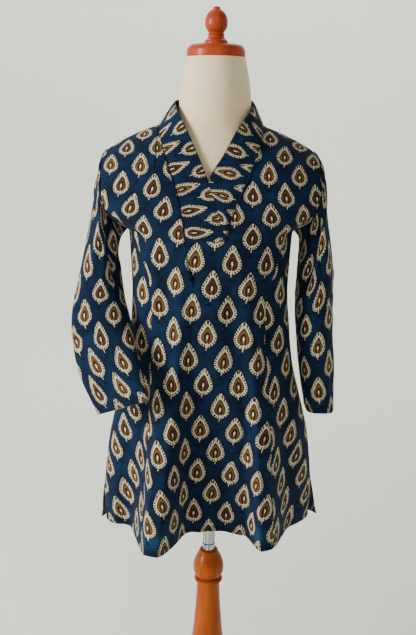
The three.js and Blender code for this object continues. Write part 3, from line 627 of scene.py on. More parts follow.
def shoulder_edge(side, neck, count):
    """Out and height from the shoulder tip to the neck point, crowded towards the tip."""
    tip = float(armhole_place(0.0)[0])
    share = np.linspace(0, 1, count, endpoint=False) ** 1.6
    out = mix(tip, neck, share)
    height = np.minimum(shoulder_height(out), SHOULDER_CREST)
    height[0] = SHOULDER_TIP
    return side * out, height


def spread_places(top_out, top_height, heights, outer_out, at_hem):
    share = ((heights - HEM) / (heights[-1] - HEM))[:, None]
    height = mix(HEM, top_height[None], share)
    at_top = top_out / outer_out(np.minimum(top_height, SHOULDER_TIP))
    lean = smooth((height - LEAN_FROM) / (top_height - LEAN_FROM))
    edge = outer_out(np.minimum(height, SHOULDER_TIP))
    in_share = mix(at_hem, at_top, lean) * edge
    straight = mix(at_hem * edge, top_out, lean)
    out = mix(straight, in_share, np.abs(at_top))
    out[:, 0] = -outer_out(heights)
    out[:, -1] = outer_out(heights)
    out[-1] = top_out
    return out, height


def edge_fade(out, height):
    """0 on the armhole, the side seam and the shoulder seam, and 1 from a little way inside."""
    to_side = edge_out(np.minimum(height, SHOULDER_TIP)) - np.abs(out)
    to_shoulder = shoulder_height(out) - height
    return smooth(to_side / 9) * smooth(to_shoulder / 12)


def dressed_panel(node, panel, out, height, shift, seam_distance, print_place, finishes, outwards):
    """A body panel with its creases, sunk seams and turned hem."""
    points = body_points(panel, out, height) + shift
    normals = grid_normals(points, False) * outwards
    rise = crease_rise(BODY_CREASES[panel], out, height)
    rise = (rise + slackness(out, height)) * edge_fade(out, height)
    above = height - HEM
    rise = rise * smooth(above / 8)
    to_armhole = np.where(height > UNDERARM, armhole_out(height) - np.abs(out), FAR)
    for distance, (depth, width) in (
        (seam_distance, SEAM_FURROW), (above - HEM_TURN, HEM_FURROW), (to_armhole, ARMHOLE_FURROW)
    ):
        rise = rise - depth * bell(distance, width)
    ripple = 0.5 * np.sin(out / 6.5) * bell(above - HEM_TURN * 0.5, 6)
    points = points + normals * (rise + ripple)[..., None]
    turned = smooth((HEM_TURN + 0.6 - above) / 1.2)
    thickness = CLOTH * (1 + 0.7 * turned)
    normals = grid_normals(points, False) * outwards
    side = (height < UNDERARM + 1) & (np.abs(out) > edge_out(height) - 0.4)
    normals[side] = np.stack([np.sign(out[side]), 0 * out[side], 0 * out[side]], -1)
    flat = flat_places(panel, out, height, *print_place)
    # Painted light: a share that is highest on the folds just above the hem, where the cloth's colour is
    # painted lighter as if light shone through the thin cotton.
    painted_light_through = smooth(fold_rise(panel, out, height) / 55) * bell(above - HEM_TURN - 17, 15)
    return cloth_piece(
        node, points, flat, thickness, finishes, outwards,
        normals=normals, from_stitches=above - HEM_TURN + 1.2, painted_light_through=painted_light_through,
    )


def make_centre_front(finishes):
    per_row = FINE_COLUMNS
    right = band_seam(RIGHT_BAND, np.linspace(BAND_FRONT_ROWS, 0, BAND_FRONT_ROWS * per_row + 1))
    left = band_seam(LEFT_BAND, np.linspace(0, BAND_FRONT_ROWS, BAND_FRONT_ROWS * per_row + 1))
    count = SHOULDER_COLUMNS * per_row
    right_shoulder = shoulder_edge(-1, -right[0][0], count)
    left_shoulder = shoulder_edge(1, left[0][-1], count)
    foot_share = np.linspace(0, 1, FOOT_COLUMNS * per_row + 1)[1:-1]
    foot_out = mix(right[0][-1], left[0][0], foot_share)
    foot_height = mix(right[1][-1], left[1][0], foot_share)
    top_out = np.concatenate([right_shoulder[0], right[0], foot_out, left[0], left_shoulder[0][::-1]])
    top_height = np.concatenate([right_shoulder[1], right[1], foot_height, left[1], left_shoulder[1][::-1]])
    heights = edge_heights(PRINCESS_HEIGHTS, PRINCESS_STEP)
    at_hem = np.linspace(-1, 1, len(top_out))
    out, height = spread_places(top_out, top_height, heights, centre_front_out, at_hem)
    shift = np.zeros(out.shape + (3,))
    surface = body_points("front", top_out, top_height)
    start = len(right_shoulder[0])
    shift[-1, start:start + len(right[0])] = right[2] - surface[start:start + len(right[0])]
    end = len(top_out) - len(left_shoulder[0])
    shift[-1, end - len(left[0]):end] = left[2] - surface[end - len(left[0]):end]
    foot = slice(start + len(right[0]) - 1, end - len(left[0]) + 1)
    shift[-1, foot, 2] -= FOOT_GAP
    seam_distance = np.where(height < armhole_place(2.1)[1], centre_front_out(height) - np.abs(out), FAR)
    return dressed_panel("centre_front", "front", out, height, shift, seam_distance, (0, 0), finishes, 1)


def make_side_front(node, side, print_place, finishes):
    steps = ARM_STEPS - PRINCESS_STEP
    share = np.concatenate([np.linspace(0, 0.06, 5)[:-1], np.linspace(0.06, 1, 52)])
    angles = (PRINCESS_STEP + steps * share) * math.pi / ARM_STEPS
    end_out, end_height = armhole_place(angles)
    seam_top = float(armhole_place(math.pi * PRINCESS_STEP / ARM_STEPS)[1])
    heights = fine(PRINCESS_HEIGHTS + (seam_top,), FINE_ROWS)
    up = ((heights - HEM) / (seam_top - HEM))[:, None]
    height = mix(HEM, end_height[None], up)
    inner = princess_out(height) + SEAM_GAP / 2
    bend = np.sin(share * math.pi / 2)[None]
    lean = smooth((height - LEAN_FROM) / (end_height - LEAN_FROM))
    out = mix(inner, edge_out(height), mix(bend, 1, lean))
    out[:, 0] = inner[:, 0]
    out[-1] = end_out
    shift = np.zeros(out.shape + (3,))
    shift[-1, 0, 2] = -2 * SEAM_GAP
    seam_distance = out - inner
    return dressed_panel(node, "front", side * out, height, shift, seam_distance, print_place, finishes, side)


def make_back(finishes):
    right_rows = np.linspace(BAND_FRONT_ROWS, len(RIGHT_BAND) - 1, 4 * FINE_COLUMNS + 1)
    left_rows = right_rows[::-1][1:]
    right = band_seam(RIGHT_BAND, right_rows)
    left = band_seam(LEFT_BAND, left_rows)
    right_shoulder = shoulder_edge(-1, -right[0][0], EDGE_COLUMNS)
    left_shoulder = shoulder_edge(1, left[0][-1], EDGE_COLUMNS)
    top_out = np.concatenate([right_shoulder[0], right[0], left[0], left_shoulder[0][::-1]])
    top_height = np.concatenate([right_shoulder[1], right[1], left[1], left_shoulder[1][::-1]])
    heights = edge_heights(BACK_HEIGHTS, ARM_STEPS)
    at_hem = np.sin(np.linspace(-1, 1, len(top_out)) * math.pi / 2)
    out, height = spread_places(top_out, top_height, heights, edge_out, at_hem)
    corner = np.where(out < 0, -CORNER_OUT[-1], CORNER_OUT[1]) * slit_share(height) ** 1.5
    shift = np.zeros(out.shape + (3,))
    shift[..., 0] = corner * np.clip(np.abs(out) / edge_out(height), 0, 1) ** 4
    surface = body_points("back", top_out, top_height)
    start = len(right_shoulder[0])
    end = len(top_out) - len(left_shoulder[0])
    shift[-1, start:end] = np.vstack([right[2], left[2]]) - surface[start:end]
    return dressed_panel("back", "back", out, height, shift, FAR + 0 * out, (17, 24), finishes, -1)


# ---- sleeves ----
SLEEVE_COLUMNS = 132
SLEEVE_ROWS = 150
CUFF_TURN = 14
SLEEVE_SQUEEZE = 1.17  # the print is narrower round the sleeves


def armhole_ring(side, angles):
    down = np.minimum(angles, 2 * math.pi - angles)
    out, height = armhole_place(down)
    front = body_points("front", side * out, height)
    back = body_points("back", side * out, height)
    ring = np.where((angles <= math.pi)[:, None], front, back)
    on_seam = (down < 1e-6) | (down > math.pi - 1e-6)
    ring[on_seam, 1] = 0
    away = np.stack([side + 0 * down, HEAD_PULL * np.sin(angles), -HEAD_PULL * np.cos(angles)], -1)
    return ring + 3 * SEAM_GAP * away / np.linalg.norm(away, axis=-1, keepdims=True)


def sleeve_ring(row, axis, side, angles):
    outer = np.array(row.outer, float)
    inner = np.array(row.inner, float)
    middle = (outer + inner) / 2
    across = outer - middle
    forwards = np.cross(axis, across)
    forwards *= row.deep / np.linalg.norm(forwards)
    if forwards[1] > 0:
        forwards = -forwards
    cosine = np.cos(angles)
    sine = np.sin(angles)
    size = (np.abs(cosine) ** row.square + np.abs(sine) ** row.square) ** (-1 / row.square)
    ring = middle + across * (cosine * size)[:, None] + forwards * (sine * size)[:, None]
    ring[:, 0] += side * row.bow * sine**2
    return ring


def make_sleeve(node, side, table, creases, print_place, finishes):
    """The columns start on the underarm seam and go over the back to the outer line, then over the front."""
    angles = (math.pi + np.linspace(0, 2 * math.pi, SLEEVE_COLUMNS, endpoint=False)) % (2 * math.pi)
    middles = np.array([(np.array(row.outer) + np.array(row.inner)) / 2 for row in table])
    rings = [armhole_ring(side, angles)]
    for i, row in enumerate(table):
        axis = middles[min(i + 1, len(table) - 1)] - middles[max(i - 1, 0)]
        rings.append(sleeve_ring(row, axis / np.linalg.norm(axis), side, angles))
    rings = np.array(rings)
    gaps = np.linalg.norm(np.diff(rings, axis=0), axis=-1).mean(axis=1)
    down = np.concatenate([[0], np.cumsum(gaps)])
    places = np.linspace(0, down[-1], SLEEVE_ROWS)
    points = through(down, rings, places)
    steps = np.linalg.norm(np.roll(points, -1, axis=1) - points, axis=-1)
    girth = np.concatenate([np.zeros((len(points), 1)), np.cumsum(steps, axis=1)], axis=1)
    across = girth - girth[:, [SLEEVE_COLUMNS // 2]]
    round_it = across[:, :-1]
    along = np.broadcast_to(places[:, None], round_it.shape)
    above = places[-1] - along
    fade = smooth(along / 16) * smooth(above / 10)
    rise = (crease_rise(creases, round_it, along) + slackness(round_it, along)) * fade
    to_seam = np.minimum(girth[:, :-1], girth[:, -1:] - girth[:, :-1])
    rise = rise - 0.9 * bell(to_seam, 2.4) - 0.5 * bell(above - CUFF_TURN, 1.6)
    rise = rise + 2.4 * bell(along - 9, 6) * np.clip(np.cos(angles) + 0.6, 0, 1)[None] ** 0.5
    points = points + grid_normals(points, True) * side * rise[..., None]
    turned = smooth((CUFF_TURN + 0.6 - above) / 1.2)
    upwards = np.broadcast_to(places[-1] - places[:, None], across.shape)
    flat = np.stack([SLEEVE_SQUEEZE * across * side + print_place[0], upwards + print_place[1]], -1) * MM
    wall = CLOTH * (1 + 0.6 * turned)
    return cloth_piece(
        node, points, flat, wall, finishes, side, True, from_stitches=above - CUFF_TURN + 1.2
    )


# ---- the stand's pieces ----
CAP = {"radius": 52.8, "bottom": 1470.3, "top": 1491.5, "edge": 13}
FINIAL = (
    (21.8, 1491.8), (21.4, 1496.5), (15.5, 1502), (14.2, 1506), (15.2, 1508.5), (13.4, 1511),
    (17.5, 1517), (20.4, 1525), (20.4, 1532), (17.5, 1541), (12, 1548), (7.2, 1551.5), (6.4, 1554),
    (3.2, 1555.8),
)
UPPER_TUBE = ((11.4, 498.3), (12.25, 499.2), (12.25, 699), (11.6, 699.7))
LOWER_TUBE = ((12.6, 483.3), (13.2, 484), (13.2, 497.2), (12.5, 498))
BALL = (
    (17, 418.3), (23, 420.2), (29, 427), (32, 438), (32, 447), (28.5, 461), (23.4, 471.5), (20.6, 477),
    (19.8, 480), (18.4, 482.4), (16, 483),
)
RING = ((24, 410.3), (28.6, 411.4), (29.6, 413), (29.6, 415), (28.4, 416.8), (22, 418))
POST = (
    (36, 42.3), (44.5, 46), (46, 52), (44, 66), (36, 76), (31, 84), (27, 104), (28, 122), (33, 150),
    (38, 205), (36.5, 245), (32, 284), (28, 330), (25, 375), (24, 400), (24, 410),
)
BASE = (
    (190, 0), (195, 1.2), (198, 6), (198, 12), (196, 18), (190, 22.6), (176, 27), (120, 29.5), (70, 32),
    (58, 36), (52, 40), (50, 42),
)
TURNED_SIDES = 96
FORM = {
    "height": (700, 760, 830, 900, 980, 1030, 1080, 1130, 1180, 1230, 1268, 1295, 1315, 1333, 1352, 1375,
               1400, 1426, 1454, 1470),
    "half_width": (138, 145, 141, 130, 114, 112, 121, 134, 140, 145, 147, 138, 118, 95, 76, 67, 65, 62,
                   56.5, 53.5),
    "front": (58, 68, 76, 79, 80, 84, 96, 107, 104, 94, 86, 79, 73, 68, 64, 64, 65, 62, 56.5, 53.5),
    "back": (84, 92, 92, 85, 76, 73, 79, 89, 97, 99, 94, 85, 75, 67, 62, 62, 63, 62, 56.5, 53.5),
}
FORM_RINGS = 110


def start_disc(name, radius, height):
    bpy.ops.object.select_all(action="DESELECT")
    bpy.ops.mesh.primitive_circle_add(
        vertices=TURNED_SIDES, radius=radius * MM, fill_type="NGON", location=(0, 0, height * MM)
    )
    piece = bpy.context.object
    piece.name = name
    bpy.ops.object.mode_set(mode="EDIT")
    bpy.ops.mesh.select_mode(type="FACE")
    bpy.ops.mesh.select_all(action="SELECT")
    return piece


def draw_up(rise):
    bpy.ops.mesh.extrude_region_move(TRANSFORM_OT_translate={"value": (0, 0, rise * MM)})


def finish_editing(piece, finish, angle=35):
    """Closes, smooths and coats a piece, and applies its place."""
    bpy.ops.mesh.select_all(action="SELECT")
    bpy.ops.mesh.remove_doubles(threshold=1e-6)
    bpy.ops.mesh.normals_make_consistent(inside=False)
    bpy.ops.object.mode_set(mode="OBJECT")
    bpy.ops.object.transform_apply(location=True, rotation=True, scale=True)
    bpy.ops.object.shade_smooth_by_angle(angle=math.radians(angle))
    piece.data.materials.clear()
    piece.data.materials.append(finish)
    return piece


def turned_piece(name, profile, finish):
    """A turned piece: a disc drawn up and scaled from one ring of its profile to the next."""
    radius, height = profile[0]
    piece = start_disc(name, radius, height)
    for next_radius, next_height in profile[1:]:
        draw_up(next_height - height)
        ratio = next_radius / radius
        bpy.ops.transform.resize(value=(ratio, ratio, 1), center_override=(0, 0, next_height * MM))
        radius, height = next_radius, next_height
    return finish_editing(piece, finish)


def rounded_cap():
    """The neck cap's profile, with its upper edge rounded off."""
    radius, top, edge = CAP["radius"], CAP["top"], CAP["edge"]
    profile = [(radius - 1, CAP["bottom"]), (radius, CAP["bottom"] + 1)]
    for angle in np.radians(np.arange(0, 91, 10)):
        profile.append((radius - edge * (1 - math.cos(angle)), top - edge * (1 - math.sin(angle))))
    return profile


def rounded_profile(profile, each=4):
    """More rings on a smooth curve through a profile's own."""
    rows = np.array(profile, float)
    steps = np.arange(len(rows), dtype=float)
    places = np.linspace(0, len(rows) - 1, each * (len(rows) - 1) + 1)
    radii = curve(steps, rows[:, 0], places)
    heights = curve(steps, rows[:, 1], places)
    return [(float(r), float(h)) for r, h in zip(radii, heights)]


def make_form(finish):
    """The torso with its neck: a disc drawn up ring by ring, with its front and back shaped apart."""
    heights = np.linspace(FORM["height"][0], FORM["height"][-1], FORM_RINGS)
    widths = curve(FORM["height"], FORM["half_width"], heights)
    fronts = curve(FORM["height"], FORM["front"], heights)
    backs = curve(FORM["height"], FORM["back"], heights)
    piece = start_disc("torso_form", 1, heights[0])
    before = (1.0, 1.0, 1.0)
    for i, height in enumerate(heights):
        if i:
            draw_up(height - heights[i - 1])
        now = (widths[i], fronts[i], backs[i])
        shape_ring([value / old for value, old in zip(now, before)])
        before = now
    return finish_editing(piece, finish, 60)


def shape_ring(ratios):
    """Scales the selected ring across, and its front and back apart."""
    width, front, back = ratios
    mesh = bmesh.from_edit_mesh(bpy.context.object.data)
    for vertex in mesh.verts:
        if vertex.select:
            vertex.co.x *= width
            vertex.co.y *= front if vertex.co.y < 0 else back
    bmesh.update_edit_mesh(bpy.context.object.data)


# ---- finishes ----
def tone(red, green, blue):
    """A colour given as it is seen, from 0 to 255, as the renderer needs it."""
    seen = np.array([red, green, blue]) / 255
    linear = np.where(seen <= 0.04045, seen / 12.92, ((seen + 0.055) / 1.055) ** 2.4)
    return tuple(linear) + (1.0,)


class Finish:
    """One material and short ways to add nodes to it."""

    def __init__(self, name):
        self.material = bpy.data.materials.new(name)
        self.material.use_nodes = True
        self.tree = self.material.node_tree
        self.shader = self.tree.nodes["Principled BSDF"]

    def put(self, value, socket):
        if isinstance(value, bpy.types.NodeSocket):
            self.tree.links.new(value, socket)
        else:
            socket.default_value = value

    def add(self, kind, *values, **settings):
        node = self.tree.nodes.new("ShaderNode" + kind)
        for key, value in settings.items():
            setattr(node, key, value)
        for socket, value in zip(node.inputs, values):
            if value is not None:
                self.put(value, socket)
        return node

    def sum(self, operation, *values):
        return self.add("Math", *values, operation=operation).outputs[0]

    def ease(self, value, low, high):
        """0 up to low and 1 from high, or the other way round, with a smooth step between."""
        node = self.add("MapRange", interpolation_type="SMOOTHSTEP")
        for name, given in (("Value", value), ("From Min", low), ("From Max", high)):
            self.put(given, node.inputs[name])
        return node.outputs["Result"]

    def blend(self, share, first, second):
        node = self.add("Mix", data_type="RGBA")
        self.put(share, node.inputs["Factor"])
        self.put(first, node.inputs["A"])
        self.put(second, node.inputs["B"])
        return node.outputs["Result"]

    def noise(self, place, scale, detail=2.0, roughness=0.5):
        node = self.add("TexNoise")
        self.put(place, node.inputs["Vector"])
        node.inputs["Scale"].default_value = scale
        node.inputs["Detail"].default_value = detail
        node.inputs["Roughness"].default_value = roughness
        return node

    def bump(self, height, strength, distance, below=None):
        node = self.add("Bump")
        node.inputs["Strength"].default_value = strength
        node.inputs["Distance"].default_value = distance
        self.put(height, node.inputs["Height"])
        if below is not None:
            self.put(below, node.inputs["Normal"])
        return node.outputs["Normal"]

    def set(self, **values):
        for name, value in values.items():
            self.put(value, self.shader.inputs[name.replace("_", " ")])


# The block print, in millimetres of flat cloth.
PITCH_ACROSS = 66.0
PITCH_DOWN = 94.5
PRINT_LEAN = 3.9  # degrees off the grain
LEAF_RADIUS = 17.4
LEAF_TIP = 18.0
TIP_WIDTH = 0.43  # radians over which the leaf runs up into its tip
TIP_POWER = 1.3
DASH_PITCH = 5.3
STITCH_PITCH = 3.4
GROUND = (5, 34, 64)
GROUND_DEEP = (3, 22, 44)
# Painted light: the lighter ground colour painted where light is meant to shine through the cloth.
PAINTED_LIGHT_THROUGH_GROUND = (22, 58, 82)
HALO = (2, 6, 15)
CREAM = (206, 197, 170)
CREAM_SHADE = (164, 150, 121)
OCHRE = (96, 71, 35)
BROWN = (44, 25, 12)
THREAD = (28, 48, 66)
OCHRE_WORN = (122, 84, 38)
OCHRE_DARK = (74, 50, 26)
DASH = (16, 10, 8)
DOT = (30, 17, 8)
FLAME = (216, 208, 184)
DROP = (140, 98, 42)
# The edges of the leaf's rings, as shares of its outline: where a colour begins and where it is full.
HALO_RING = (1.13, 1.06)
CREAM_RING = (1.012, 0.988)
DASH_RING = ((0.755, 0.775), (1.0, 0.975))
BROWN_RING = (0.66, 0.635)
OCHRE_RING = (0.575, 0.545)
DOT_RING = ((0.47, 0.49), (0.57, 0.545))


def leaf_places(f, flat):
    """The place within the nearest leaf of the half-drop repeat, and three chance values for that leaf."""
    turned = f.add("Mapping")
    f.put(flat, turned.inputs["Vector"])
    turned.inputs["Scale"].default_value = (1000, 1000, 1000)
    turned.inputs["Rotation"].default_value = (0, 0, math.radians(PRINT_LEAN))
    shake = f.noise(turned.outputs[0], 0.09, 1.0)
    away = f.add("VectorMath", shake.outputs["Color"], (-0.5, -0.5, -0.5), operation="ADD").outputs[0]
    away = f.add("VectorMath", away, (2.6, 2.6, 0), operation="MULTIPLY").outputs[0]
    place = f.add("VectorMath", turned.outputs[0], away, operation="ADD").outputs[0]
    split = f.add("SeparateXYZ", place)
    x, y = split.outputs[0], split.outputs[1]
    found = []
    for shift in (0.0, 0.5):
        near_x = f.sum("WRAP", f.sum("ADD", x, shift * PITCH_ACROSS), PITCH_ACROSS / 2, -PITCH_ACROSS / 2)
        near_y = f.sum("WRAP", f.sum("ADD", y, shift * PITCH_DOWN), PITCH_DOWN / 2, -PITCH_DOWN / 2)
        wide = f.sum("DIVIDE", near_x, PITCH_ACROSS)
        tall = f.sum("DIVIDE", near_y, PITCH_DOWN)
        reach = f.sum("ADD", f.sum("MULTIPLY", wide, wide), f.sum("MULTIPLY", tall, tall))
        found.append((near_x, near_y, reach))
    (ax, ay, a_reach), (bx, by, b_reach) = found
    first = f.sum("LESS_THAN", a_reach, b_reach)
    near_x = f.sum("MULTIPLY_ADD", f.sum("SUBTRACT", ax, bx), first, bx)
    near_y = f.sum("MULTIPLY_ADD", f.sum("SUBTRACT", ay, by), first, by)
    column = f.sum("ROUND", f.sum("DIVIDE", f.sum("SUBTRACT", x, near_x), PITCH_ACROSS / 2))
    row = f.sum("ROUND", f.sum("DIVIDE", f.sum("SUBTRACT", y, near_y), PITCH_DOWN / 2))
    chance = f.add("TexWhiteNoise", f.add("CombineXYZ", column, row, 0.0).outputs[0])
    chances = f.add("SeparateColor", chance.outputs["Color"]).outputs
    tilt = f.sum("MULTIPLY_ADD", chances[0], 0.12, -0.06)
    near_x = f.sum("ADD", near_x, f.sum("MULTIPLY_ADD", chances[1], 2.0, -1.0))
    leaf_x = f.sum("MULTIPLY_ADD", near_y, tilt, near_x)
    leaf_y = f.sum("SUBTRACT", f.sum("MULTIPLY_ADD", near_y, 1.0, 5.0), f.sum("MULTIPLY", near_x, tilt))
    return leaf_x, leaf_y, place, chances


def oval(f, x, y, middle, half_width, half_height):
    """1 on an oval's edge, less inside."""
    wide = f.sum("DIVIDE", f.sum("SUBTRACT", x, middle[0]), half_width)
    tall = f.sum("DIVIDE", f.sum("SUBTRACT", y, middle[1]), half_height)
    return f.sum("SQRT", f.sum("ADD", f.sum("MULTIPLY", wide, wide), f.sum("MULTIPLY", tall, tall)))


def both(f, *masks):
    result = masks[0]
    for mask in masks[1:]:
        result = f.sum("MULTIPLY", result, mask)
    return result


def leaf_colours(f, x, y, place, chances, ground):
    """The printed leaf over the ground, from the outside in."""
    aside = f.sum("ABSOLUTE", x)
    reach = f.sum("SQRT", f.sum("ADD", f.sum("MULTIPLY", x, x), f.sum("MULTIPLY", y, y)))
    angle = f.sum("ARCTAN2", aside, y)
    off_tip = f.sum("POWER", f.sum("DIVIDE", angle, TIP_WIDTH), TIP_POWER)
    point = f.sum("EXPONENT", f.sum("MULTIPLY", off_tip, -1.0))
    edge = f.sum("MULTIPLY_ADD", point, LEAF_TIP, LEAF_RADIUS)
    foot = f.sum("MAXIMUM", f.sum("SUBTRACT", angle, 2.5), 0.0)
    edge = f.sum("MULTIPLY_ADD", foot, 1.7, edge)
    rough = f.noise(place, 0.55, 2.0)
    ragged = f.sum("MULTIPLY_ADD", rough.outputs["Fac"], 0.07, -0.035)
    share = f.sum("ADD", f.sum("DIVIDE", reach, edge), ragged)

    near_tip = f.sum("EXPONENT", f.sum("MULTIPLY", angle, -2.0))
    run = f.sum("MULTIPLY_ADD", angle, LEAF_RADIUS, f.sum("MULTIPLY_ADD", near_tip, -9.0, 9.0))
    beat = f.sum("DIVIDE", run, DASH_PITCH)
    uneven = f.noise(place, 0.16, 1.0)
    beat = f.sum("ADD", beat, f.sum("MULTIPLY", uneven.outputs["Fac"], 1.1))
    wave = f.sum("COSINE", f.sum("MULTIPLY", f.sum("ADD", beat, chances[2]), 2 * math.pi))
    dash = both(f, f.ease(wave, -0.25, 0.05), *(f.ease(share, *edge) for edge in DASH_RING))
    dots = both(f, f.ease(wave, 0.2, 0.6), *(f.ease(share, *edge) for edge in DOT_RING))

    worn = f.noise(place, 0.32, 3.0, 0.65)
    cream = f.blend(f.ease(worn.outputs["Fac"], 0.44, 0.72), tone(*CREAM), tone(*CREAM_SHADE))
    ochre = f.blend(f.ease(worn.outputs["Fac"], 0.35, 0.65), tone(*OCHRE), tone(*OCHRE_WORN))

    colour = f.blend(f.ease(share, *HALO_RING), ground, tone(*HALO))
    colour = f.blend(f.ease(share, *CREAM_RING), colour, cream)
    colour = f.blend(dash, colour, tone(*DASH))
    colour = f.blend(f.ease(share, *BROWN_RING), colour, tone(*BROWN))
    middle = f.blend(f.ease(chances[2], 0.55, 0.8), ochre, tone(*OCHRE_DARK))
    colour = f.blend(f.ease(share, *OCHRE_RING), colour, middle)
    colour = f.blend(dots, colour, tone(*DOT))

    flame = oval(f, x, y, (0.2, 1.6), 1.6, 4.3)
    lobe = f.ease(oval(f, x, y, (0, 0.8), 6.0, 11.5), 1.02, 0.95)
    colour = f.blend(lobe, colour, tone(*BROWN))
    colour = f.blend(f.ease(flame, 1.06, 0.92), colour, tone(*FLAME))
    drop = oval(f, x, y, (-0.3, -5.0), 1.7, 1.9)
    colour = f.blend(f.ease(drop, 1.1, 0.85), colour, tone(*DROP))
    bend = f.sum("ADD", x, f.sum("MULTIPLY", f.sum("SINE", f.sum("MULTIPLY", y, 0.16)), 0.9))
    stalk = both(
        f, f.ease(f.sum("ABSOLUTE", bend), 0.95, 0.55), f.ease(y, -24.0, -23.0), f.ease(y, -8.6, -9.6)
    )
    colour = f.blend(stalk, colour, cream)
    return colour, share


def sprig(f, x, y):
    """The small dark three-toed sprig below a leaf."""
    side = f.sum("ADD", x, 2.2)
    fall = f.sum("ADD", f.sum("ADD", y, 28.6), f.sum("MULTIPLY", f.sum("ABSOLUTE", side), 0.62))
    toes = both(f, f.ease(f.sum("ABSOLUTE", fall), 1.35, 0.85), f.ease(f.sum("ABSOLUTE", side), 4.8, 4.2))
    down = f.sum("ABSOLUTE", f.sum("ADD", y, 29.4))
    stem = both(f, f.ease(f.sum("ABSOLUTE", side), 1.0, 0.6), f.ease(down, 3.0, 2.5))
    return f.sum("MAXIMUM", toes, stem)


def weave(f, flat):
    """Height of the plain weave, from 0 to 1, with slubs."""
    split = f.add("SeparateXYZ", flat)
    drift = f.noise(flat, 90.0, 1.0).outputs["Fac"]
    across = f.sum("MULTIPLY_ADD", drift, 1.5, f.sum("MULTIPLY", split.outputs[0], 2 * math.pi * 1150))
    down = f.sum("MULTIPLY_ADD", drift, 1.5, f.sum("MULTIPLY", split.outputs[1], 2 * math.pi * 1050))
    return f.sum("MULTIPLY_ADD", f.sum("MULTIPLY", f.sum("SINE", across), f.sum("SINE", down)), 0.5, 0.5)


def printed_cotton(name, strength):
    """Block-printed cotton. On the reverse of the cloth the print only shows through."""
    f = Finish(name)
    flat = f.add("UVMap", uv_map="flat_cloth").outputs[0]
    from_stitches = f.add("Attribute", attribute_name="from_stitches").outputs["Fac"]
    painted_light_through = f.add("Attribute", attribute_name="painted_light_through").outputs["Fac"]
    turned = f.ease(from_stitches, 1.6, 0.8)
    x, y, place, chances = leaf_places(f, flat)
    clouds = f.noise(flat, 26.0, 4.0, 0.6).outputs["Fac"]
    ground = f.blend(f.ease(clouds, 0.36, 0.66), tone(*GROUND_DEEP), tone(*GROUND))
    # Painted light shining through the cloth: the ground is painted lighter and bluer on the folds above the
    # hem.
    clear = both(f, painted_light_through, f.ease(clouds, 0.3, 0.6), 0.75)
    ground = f.blend(clear, ground, tone(*PAINTED_LIGHT_THROUGH_GROUND))
    colour, share = leaf_colours(f, x, y, place, chances, ground)
    dark = both(f, sprig(f, x, y), f.ease(share, 1.02, 1.06))
    colour = f.blend(dark, colour, tone(*HALO))
    colour = f.blend(strength, ground, colour)
    split = f.add("SeparateXYZ", flat).outputs
    slanting = f.sum("ADD", split[0], split[1])
    beat = f.sum("SINE", f.sum("MULTIPLY", slanting, 2 * math.pi / (STITCH_PITCH * MM)))
    stitches = both(f, f.ease(f.sum("ABSOLUTE", from_stitches), 0.5, 0.3), f.ease(beat, -0.5, -0.2))
    colour = f.blend(stitches, colour, tone(*THREAD))
    threads = weave(f, flat)
    slub = f.noise(flat, 420.0, 2.0).outputs["Fac"]
    # The gaps between threads show more where light is painted as shining through.
    between_threads = f.sum("MULTIPLY_ADD", painted_light_through, 0.3, 0.16)
    slub_shade = f.sum("MULTIPLY_ADD", slub, 0.12, 0.86)
    thread_shade = f.sum("MULTIPLY_ADD", threads, between_threads, slub_shade)
    thread_shade = f.sum("MULTIPLY", thread_shade, f.sum("MULTIPLY_ADD", turned, -0.3, 1.0))
    scaled = f.add("VectorMath", colour, operation="SCALE")
    f.put(thread_shade, scaled.inputs["Scale"])
    printed = f.ease(share, 1.03, 0.97)
    rough = f.sum("MULTIPLY_ADD", printed, -0.06, f.sum("MULTIPLY_ADD", slub, 0.12, 0.80))
    below = f.bump(clouds, 0.25, 0.0012)
    below = f.bump(printed, 0.12, 0.0002, below)
    below = f.bump(stitches, 0.6, 0.0003, below)
    f.set(
        Base_Color=scaled.outputs[0],
        Roughness=rough,
        Normal=f.bump(threads, 0.35, 0.00025, below),
        Specular_IOR_Level=0.12,
        Sheen_Weight=0.02,
        Sheen_Roughness=0.5,
    )
    return f.material


def jersey_cover():
    """Cream knitted cover of the form, with fine ribs up and down."""
    f = Finish("cream_jersey")
    place = f.add("TexCoord").outputs["Object"]
    split = f.add("SeparateXYZ", place)
    ribs = f.sum("SINE", f.sum("MULTIPLY", f.sum("ARCTAN2", split.outputs[0], split.outputs[1]), 260.0))
    rows = f.sum("SINE", f.sum("MULTIPLY", split.outputs[2], 2 * math.pi * 900))
    knit = f.sum("MULTIPLY_ADD", f.sum("MULTIPLY", ribs, rows), 0.5, 0.5)
    soil = f.noise(place, 9.0, 4.0, 0.6).outputs["Fac"]
    colour = f.blend(f.ease(soil, 0.35, 0.7), tone(243, 220, 182), tone(234, 209, 168))
    fuzz = f.noise(place, 700.0, 2.0).outputs["Fac"]
    f.set(
        Base_Color=colour,
        Roughness=f.sum("MULTIPLY_ADD", fuzz, 0.15, 0.72),
        Normal=f.bump(knit, 0.3, 0.0003, f.bump(soil, 0.1, 0.003)),
        Sheen_Weight=0.15,
        Specular_IOR_Level=0.3,
    )
    return f.material


